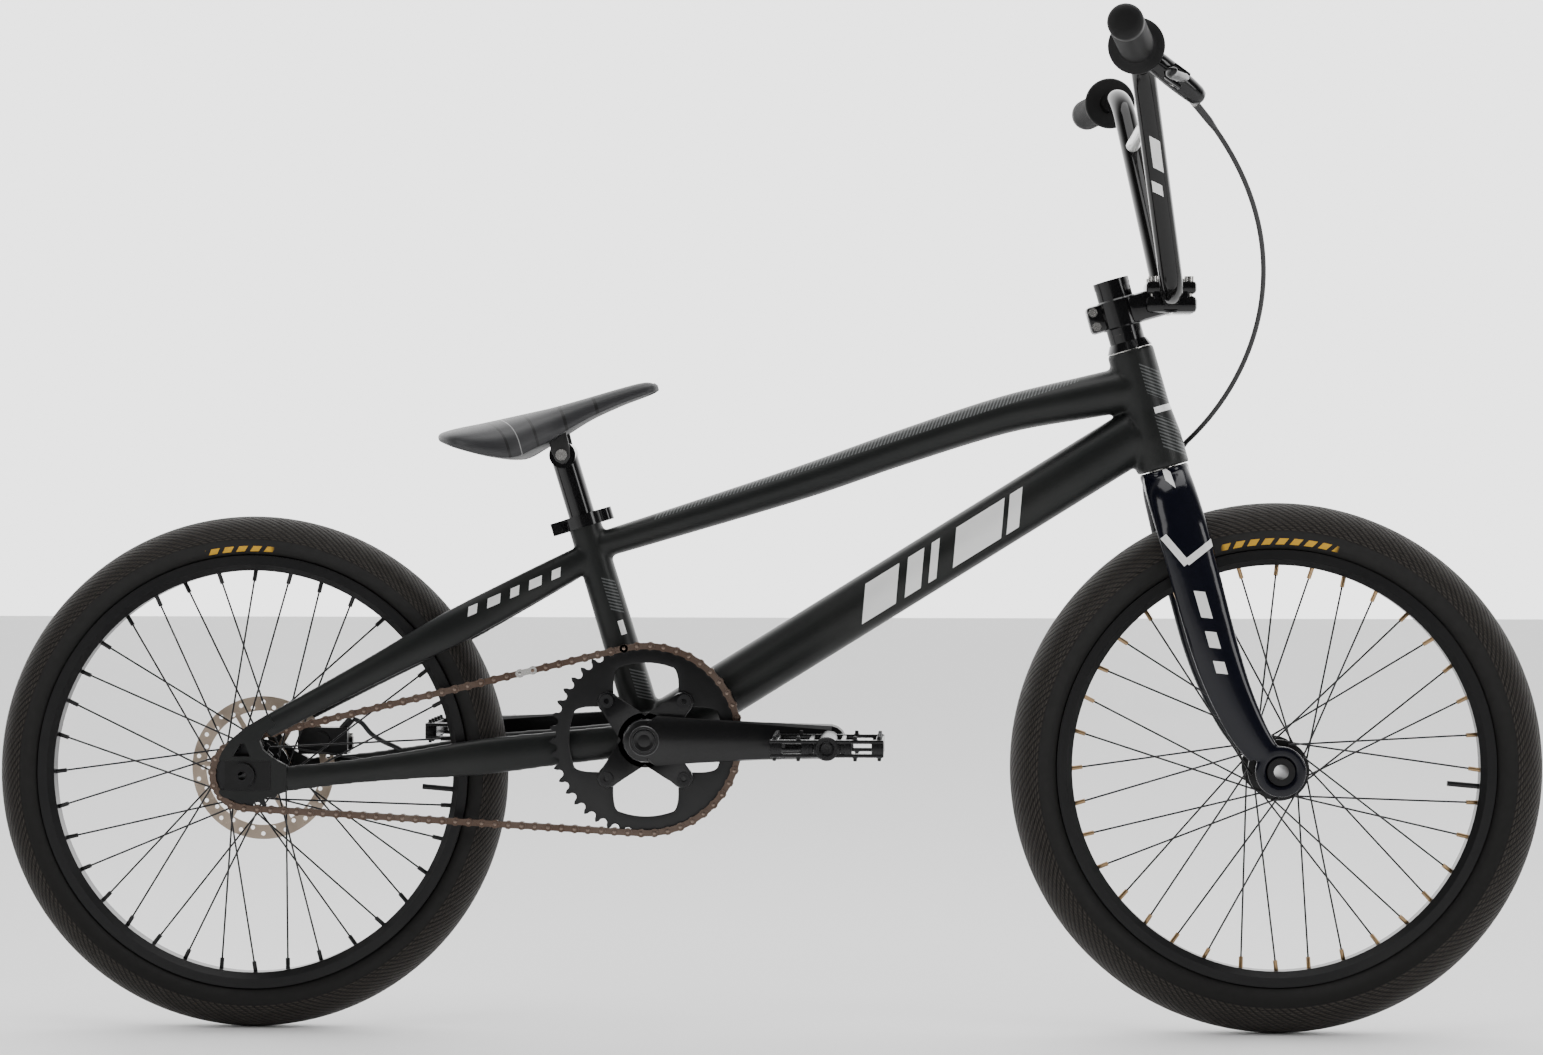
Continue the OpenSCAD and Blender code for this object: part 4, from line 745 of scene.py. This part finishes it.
rings = [[mm(BX + r * math.cos(a), CHAIN_Y + side * half, BZ + r * math.sin(a)) for a, r in radii]
         for side, rows in ((-1, face), (1, face[::-1])) for half, radii in rows]
skin(bm, rings, closed=True)
piece("chainring_plate", bm, satin_black, "crankset", ["chainring"], sharp=30)

# ---------------------------------------------------------------- cranks
# Cold-forged alloy arms: long tapered bars with wide bevels, a four-armed spider behind the right one, and a
# screwed ring round each spindle end. Satin black, with a painted highlight in a paler colour along the bevels.
crank_mat, crank_shader, crank_grain = grained(
    "forged crank alloy", (0.0045, 0.0045, 0.005), 0.3, 0.1, scale=1200, spread=0.06, tint=0.02, depth=0.06,
    coat_weight=0.2, coat_roughness=0.1, specular_ior_level=0.3)
tree = crank_mat.node_tree
# Painted highlight: faces whose normals turn away from the side, the bevels, get a paler base colour.
facing = tree.nodes.new("ShaderNodeTexCoord")
parts = tree.nodes.new("ShaderNodeSeparateXYZ")
tree.links.new(facing.outputs["Normal"], parts.inputs["Vector"])
sideways = maths(tree, "ABSOLUTE", parts.outputs["Y"])
on_bevel = maths(tree, "MULTIPLY", maths(tree, "LESS_THAN", sideways, 0.93),
                 maths(tree, "GREATER_THAN", sideways, 0.3))
painted_light = maths(tree, "MULTIPLY", on_bevel, 0.8)
tree.links.new(blended(tree, painted_light, crank_grain.outputs["Color"], (0.07, 0.07, 0.072)),
               crank_shader.inputs["Base Color"])
arm = [(21 * math.cos(math.radians(a)), 21 * math.sin(math.radians(a))) for a in range(60, 301, 20)]
arm += [(175 + 16.5 * math.cos(math.radians(a)), 16.5 * math.sin(math.radians(a))) for a in range(-80, 81, 20)]
for name, s, body_y in (("crank_arm_near", 1, (-67, -53)), ("crank_arm_far", -1, (53, 67))):
    place = Matrix.Translation((BX / 1000, 0, BZ / 1000)) @ Matrix.Scale(s, 4, (1, 0, 0))
    bm = bmesh.new()
    slab(bm, arm, *body_y, place, 5.2, 2)
    cap = about((BX, s * -67, BZ), (0, -s, 0), (0, 0, 1))
    turned(bm, [(6, -1), (6, 0.2), (6.8, 0.5), (9.6, 0.6), (10.4, -0.4), (11, -0.4), (11.6, 0.9), (13.6, 0.9),
                (14.4, 0.1), (14.4, -1)], cap, 48)
    if s > 0:
        turned(bm, [(12, -53), (26, -53), (26, -49), (25, -47.6), (12, -47.6)],
               about((BX, 0, BZ), (0, 1, 0), (0, 0, 1)), 48)
        for a in range(45, 360, 90):
            turn = Matrix.Translation((BX / 1000, 0, BZ / 1000)) @ Matrix.Rotation(math.radians(-a), 4, "Y")
            slab(bm, [(12, -19), (24, -13.5), (38, -10.5), (52, -10), (58, -7), (60.5, 0), (58, 7), (52, 10),
                      (38, 10.5), (24, 13.5), (12, 19)],
                 -53, -47.4, turn, 1.6, 2)
            turned(bm, [(7, -47.6), (7, -44.1)], turn @ about((52, 0, 0), (0, 1, 0), (0, 0, 1)), 24)
    else:
        turned(bm, [(20, 47.3), (20, 53.5)], about((BX, 0, BZ), (0, 1, 0), (0, 0, 1)), 40)
    piece(name, bm, crank_mat, "crankset", ["crank_arm_right" if s > 0 else "crank_arm_left"], sharp=32)

# ---------------------------------------------------------------- pedals
# Machined platform bodies: two end plates with a window each side of the axle, slim front and rear rails, a bored
# centre and steel pins screwed through the edges on both faces.


def block(bm, low, high, place=Matrix(), bevel=1.0):
    """A box between two corners with bevelled edges, set in place."""
    (x0, y0, z0), (x1, y1, z1) = low, high
    rows = skin(bm, [[place @ mm(x, y, z) for x, z in ((x0, z0), (x1, z0), (x1, z1), (x0, z1))] for y in (y0, y1)])
    edges = {e for row in rows for v in row for e in v.link_edges}
    bmesh.ops.bevel(bm, geom=list(edges), offset=bevel / 1000, offset_type="OFFSET", affect="EDGES", segments=2,
                    profile=0.5, material=-1, clamp_overlap=True)


pedal_mat = grained("machined pedal alloy", (0.011, 0.011, 0.012), 0.28, 0.5, scale=800, spread=0.08, tint=0.03,
                    depth=0.1)[0]
for name, s in (("right", 1), ("left", -1)):
    place = (Matrix.Translation((BX / 1000, 0, BZ / 1000)) @ Matrix.Rotation(0 if s > 0 else math.pi, 4, "Z")
             @ Matrix.Translation((0.175, -0.075, 0)))
    bm = bmesh.new()
    for y0, y1 in ((-98, -90), (-8.5, -0.5)):
        for z0, z1 in ((-8, -4.6), (4.6, 8)):
            block(bm, (-52, y0, z0), (52, y1, z1), place, 0.9)
        for x0, x1 in ((-52, -41), (-23, -16), (-12, 12), (16, 23), (41, 52)):
            block(bm, (x0, y0 + 0.2, -6), (x1, y1 - 0.2, 6), place, 0.8)
    for x0, x1 in ((-52, -44.5), (44.5, 52), (-17, -12.5), (12.5, 17)):
        block(bm, (x0, -97, -7.2), (x1, -1, 7.2), place, 1.2)
    turned(bm, [(0.5, -98.2), (5, -98.4), (6, -97.6), (7, -99), (10, -99), (11, -98), (10.2, -90), (9.4, -50),
                (10.2, -8), (11, -1), (10, 0.4), (6.6, 0.4)],
           place @ about((0, 0, 0), (0, 1, 0), (0, 0, 1)), 36)
    piece(f"{name}_pedal_body", bm, pedal_mat, f"{name}_pedal", [f"pedal_{name}"], sharp=32)
    bm = bmesh.new()
    spots = [(x, y) for x in (-48, 48) for y in (-8, -28, -49, -70, -90)]
    spots += [(x, y) for x in (-26, 26) for y in (-4.5, -94)]
    for x, y in spots:
        for flip in (0, math.pi):
            turned(bm, [(2.6, 7.2), (2.6, 8.6), (1.75, 8.8), (1.75, 11), (1.3, 11.5), (0.4, 11.5)],
                   place @ Matrix.Translation((x / 1000, y / 1000, 0)) @ Matrix.Rotation(flip, 4, "X"), 10)
    piece(f"{name}_pedal_pins", bm, dark_steel, f"{name}_pedal", sharp=40)

# ---------------------------------------------------------------- stem
# A forged top-load stem: a split collar pinched on the steerer by two bolts, a short deep body and a bar clamp whose
# lid is held by four bolts. Gloss black, every edge well rounded.
bm = bmesh.new()
upright = about(head(0), head(1) - head(0))
turned(bm, [(14.4, 444.1), (18.6, 444.1), (20, 445.6), (20, 470.6), (18.6, 472.1), (14.4, 472.1)], upright, 48,
       closed=True)
block(bm, (9, -19.5, 444.6), (50, 19.5, 471.6), upright, 4.5)
for s in (1, -1):
    block(bm, (-31, min(s, s * 11.5), 445), (-12, max(s, s * 11.5), 471.2), upright, 3.5)
level = Matrix.Translation(BAR / 1000)
block(bm, (-23.5, -26, -17.2), (25, 26, -1.1), level, 4.5)
block(bm, (-23, -26, 1.1), (24.5, 26, 12.9), level, 3.2)
turned(bm, [(11.3, -25.5), (15.8, -25.5), (17.4, -24), (17.4, 24), (15.8, 25.5), (11.3, 25.5)],
       level @ about((0, 0, 0), (0, 1, 0), (0, 0, 1)), 48, closed=True)
piece("stem_body", bm, gloss_black, "steering", ["stem", "stem_cap"], sharp=38)

# ---------------------------------------------------------------- brake lever
# A cast master cylinder clamped inboard of the grip with its round nose forward and down, a silver hose nut, and a
# short two-finger blade on a cross pin that folds towards the grip.
NEAR_OUT, REACH = Vector((outward.x, -outward.y, outward.z)), Vector((0.804, 0, -0.595))
CLAMP = BAR + Vector((end.x, -end.y, end.z)) - NEAR_OUT * 153
bm = bmesh.new()
turned(bm, [(11.2, -6.5), (14.4, -6.5), (15.2, -5.6), (15.2, 5.6), (14.4, 6.5), (11.2, 6.5)],
       about(CLAMP, NEAR_OUT, (0, 0, 1)), 40, closed=True)
sweep(bm, [CLAMP + REACH * d + Vector((0, y, 0)) for d, y in (
    (8, 0), (13, 1), (24, 4), (38, 9), (50, 14), (60, 18), (67, 21), (71.5, 23), (73.5, 24), (74.3, 24.3))],
    [8, 9.6, 10.6, 10.8, 10.4, 9.8, 9.2, 7.6, 5, 1.5], 32)
block(bm, (-9, -10, -8.6), (9, 8, -4.6), about(CLAMP + REACH * 44, (-REACH.z, 0, REACH.x)), 1.5)
block(bm, (-9, -10, 4.6), (9, 8, 8.6), about(CLAMP + REACH * 44, (-REACH.z, 0, REACH.x)), 1.5)
piece("master_cylinder", bm, gloss_black, "steering", ["lever_body"], sharp=40)
bm = bmesh.new()
nose = CLAMP + REACH * 66 + Vector((0, 24, -3))
sweep(bm, [nose, nose.lerp(out, 0.5), out, out + (bow[2] - out).normalized() * 5], [4.6, 4.6, 4.0, 3.0], 6)
piece("hose_nut", bm, bright_steel, "steering", sharp=30)
bm = bmesh.new()
PIVOT = CLAMP + REACH * 44
ovals(bm, spline([[PIVOT.x + x, PIVOT.y + y, PIVOT.z + z, a, b] for x, y, z, a, b in (
    (0, 5, 0.5, 4, 4.5), (1.5, -4, 0, 4, 5.5), (4, -20, -3, 3.8, 4.6), (3, -45, -6, 3.8, 4.4), (-5, -74, -8, 4.4, 4.6),
    (-12, -94, -8, 4.6, 4.4), (-10, -104, -7, 3.2, 3.2), (-8.5, -107, -6.5, 1, 1))], 5), 24, Vector((1, 0, 0)))
piece("lever_blade", bm, anodised, "lever", ["brake_lever"], sharp=40)
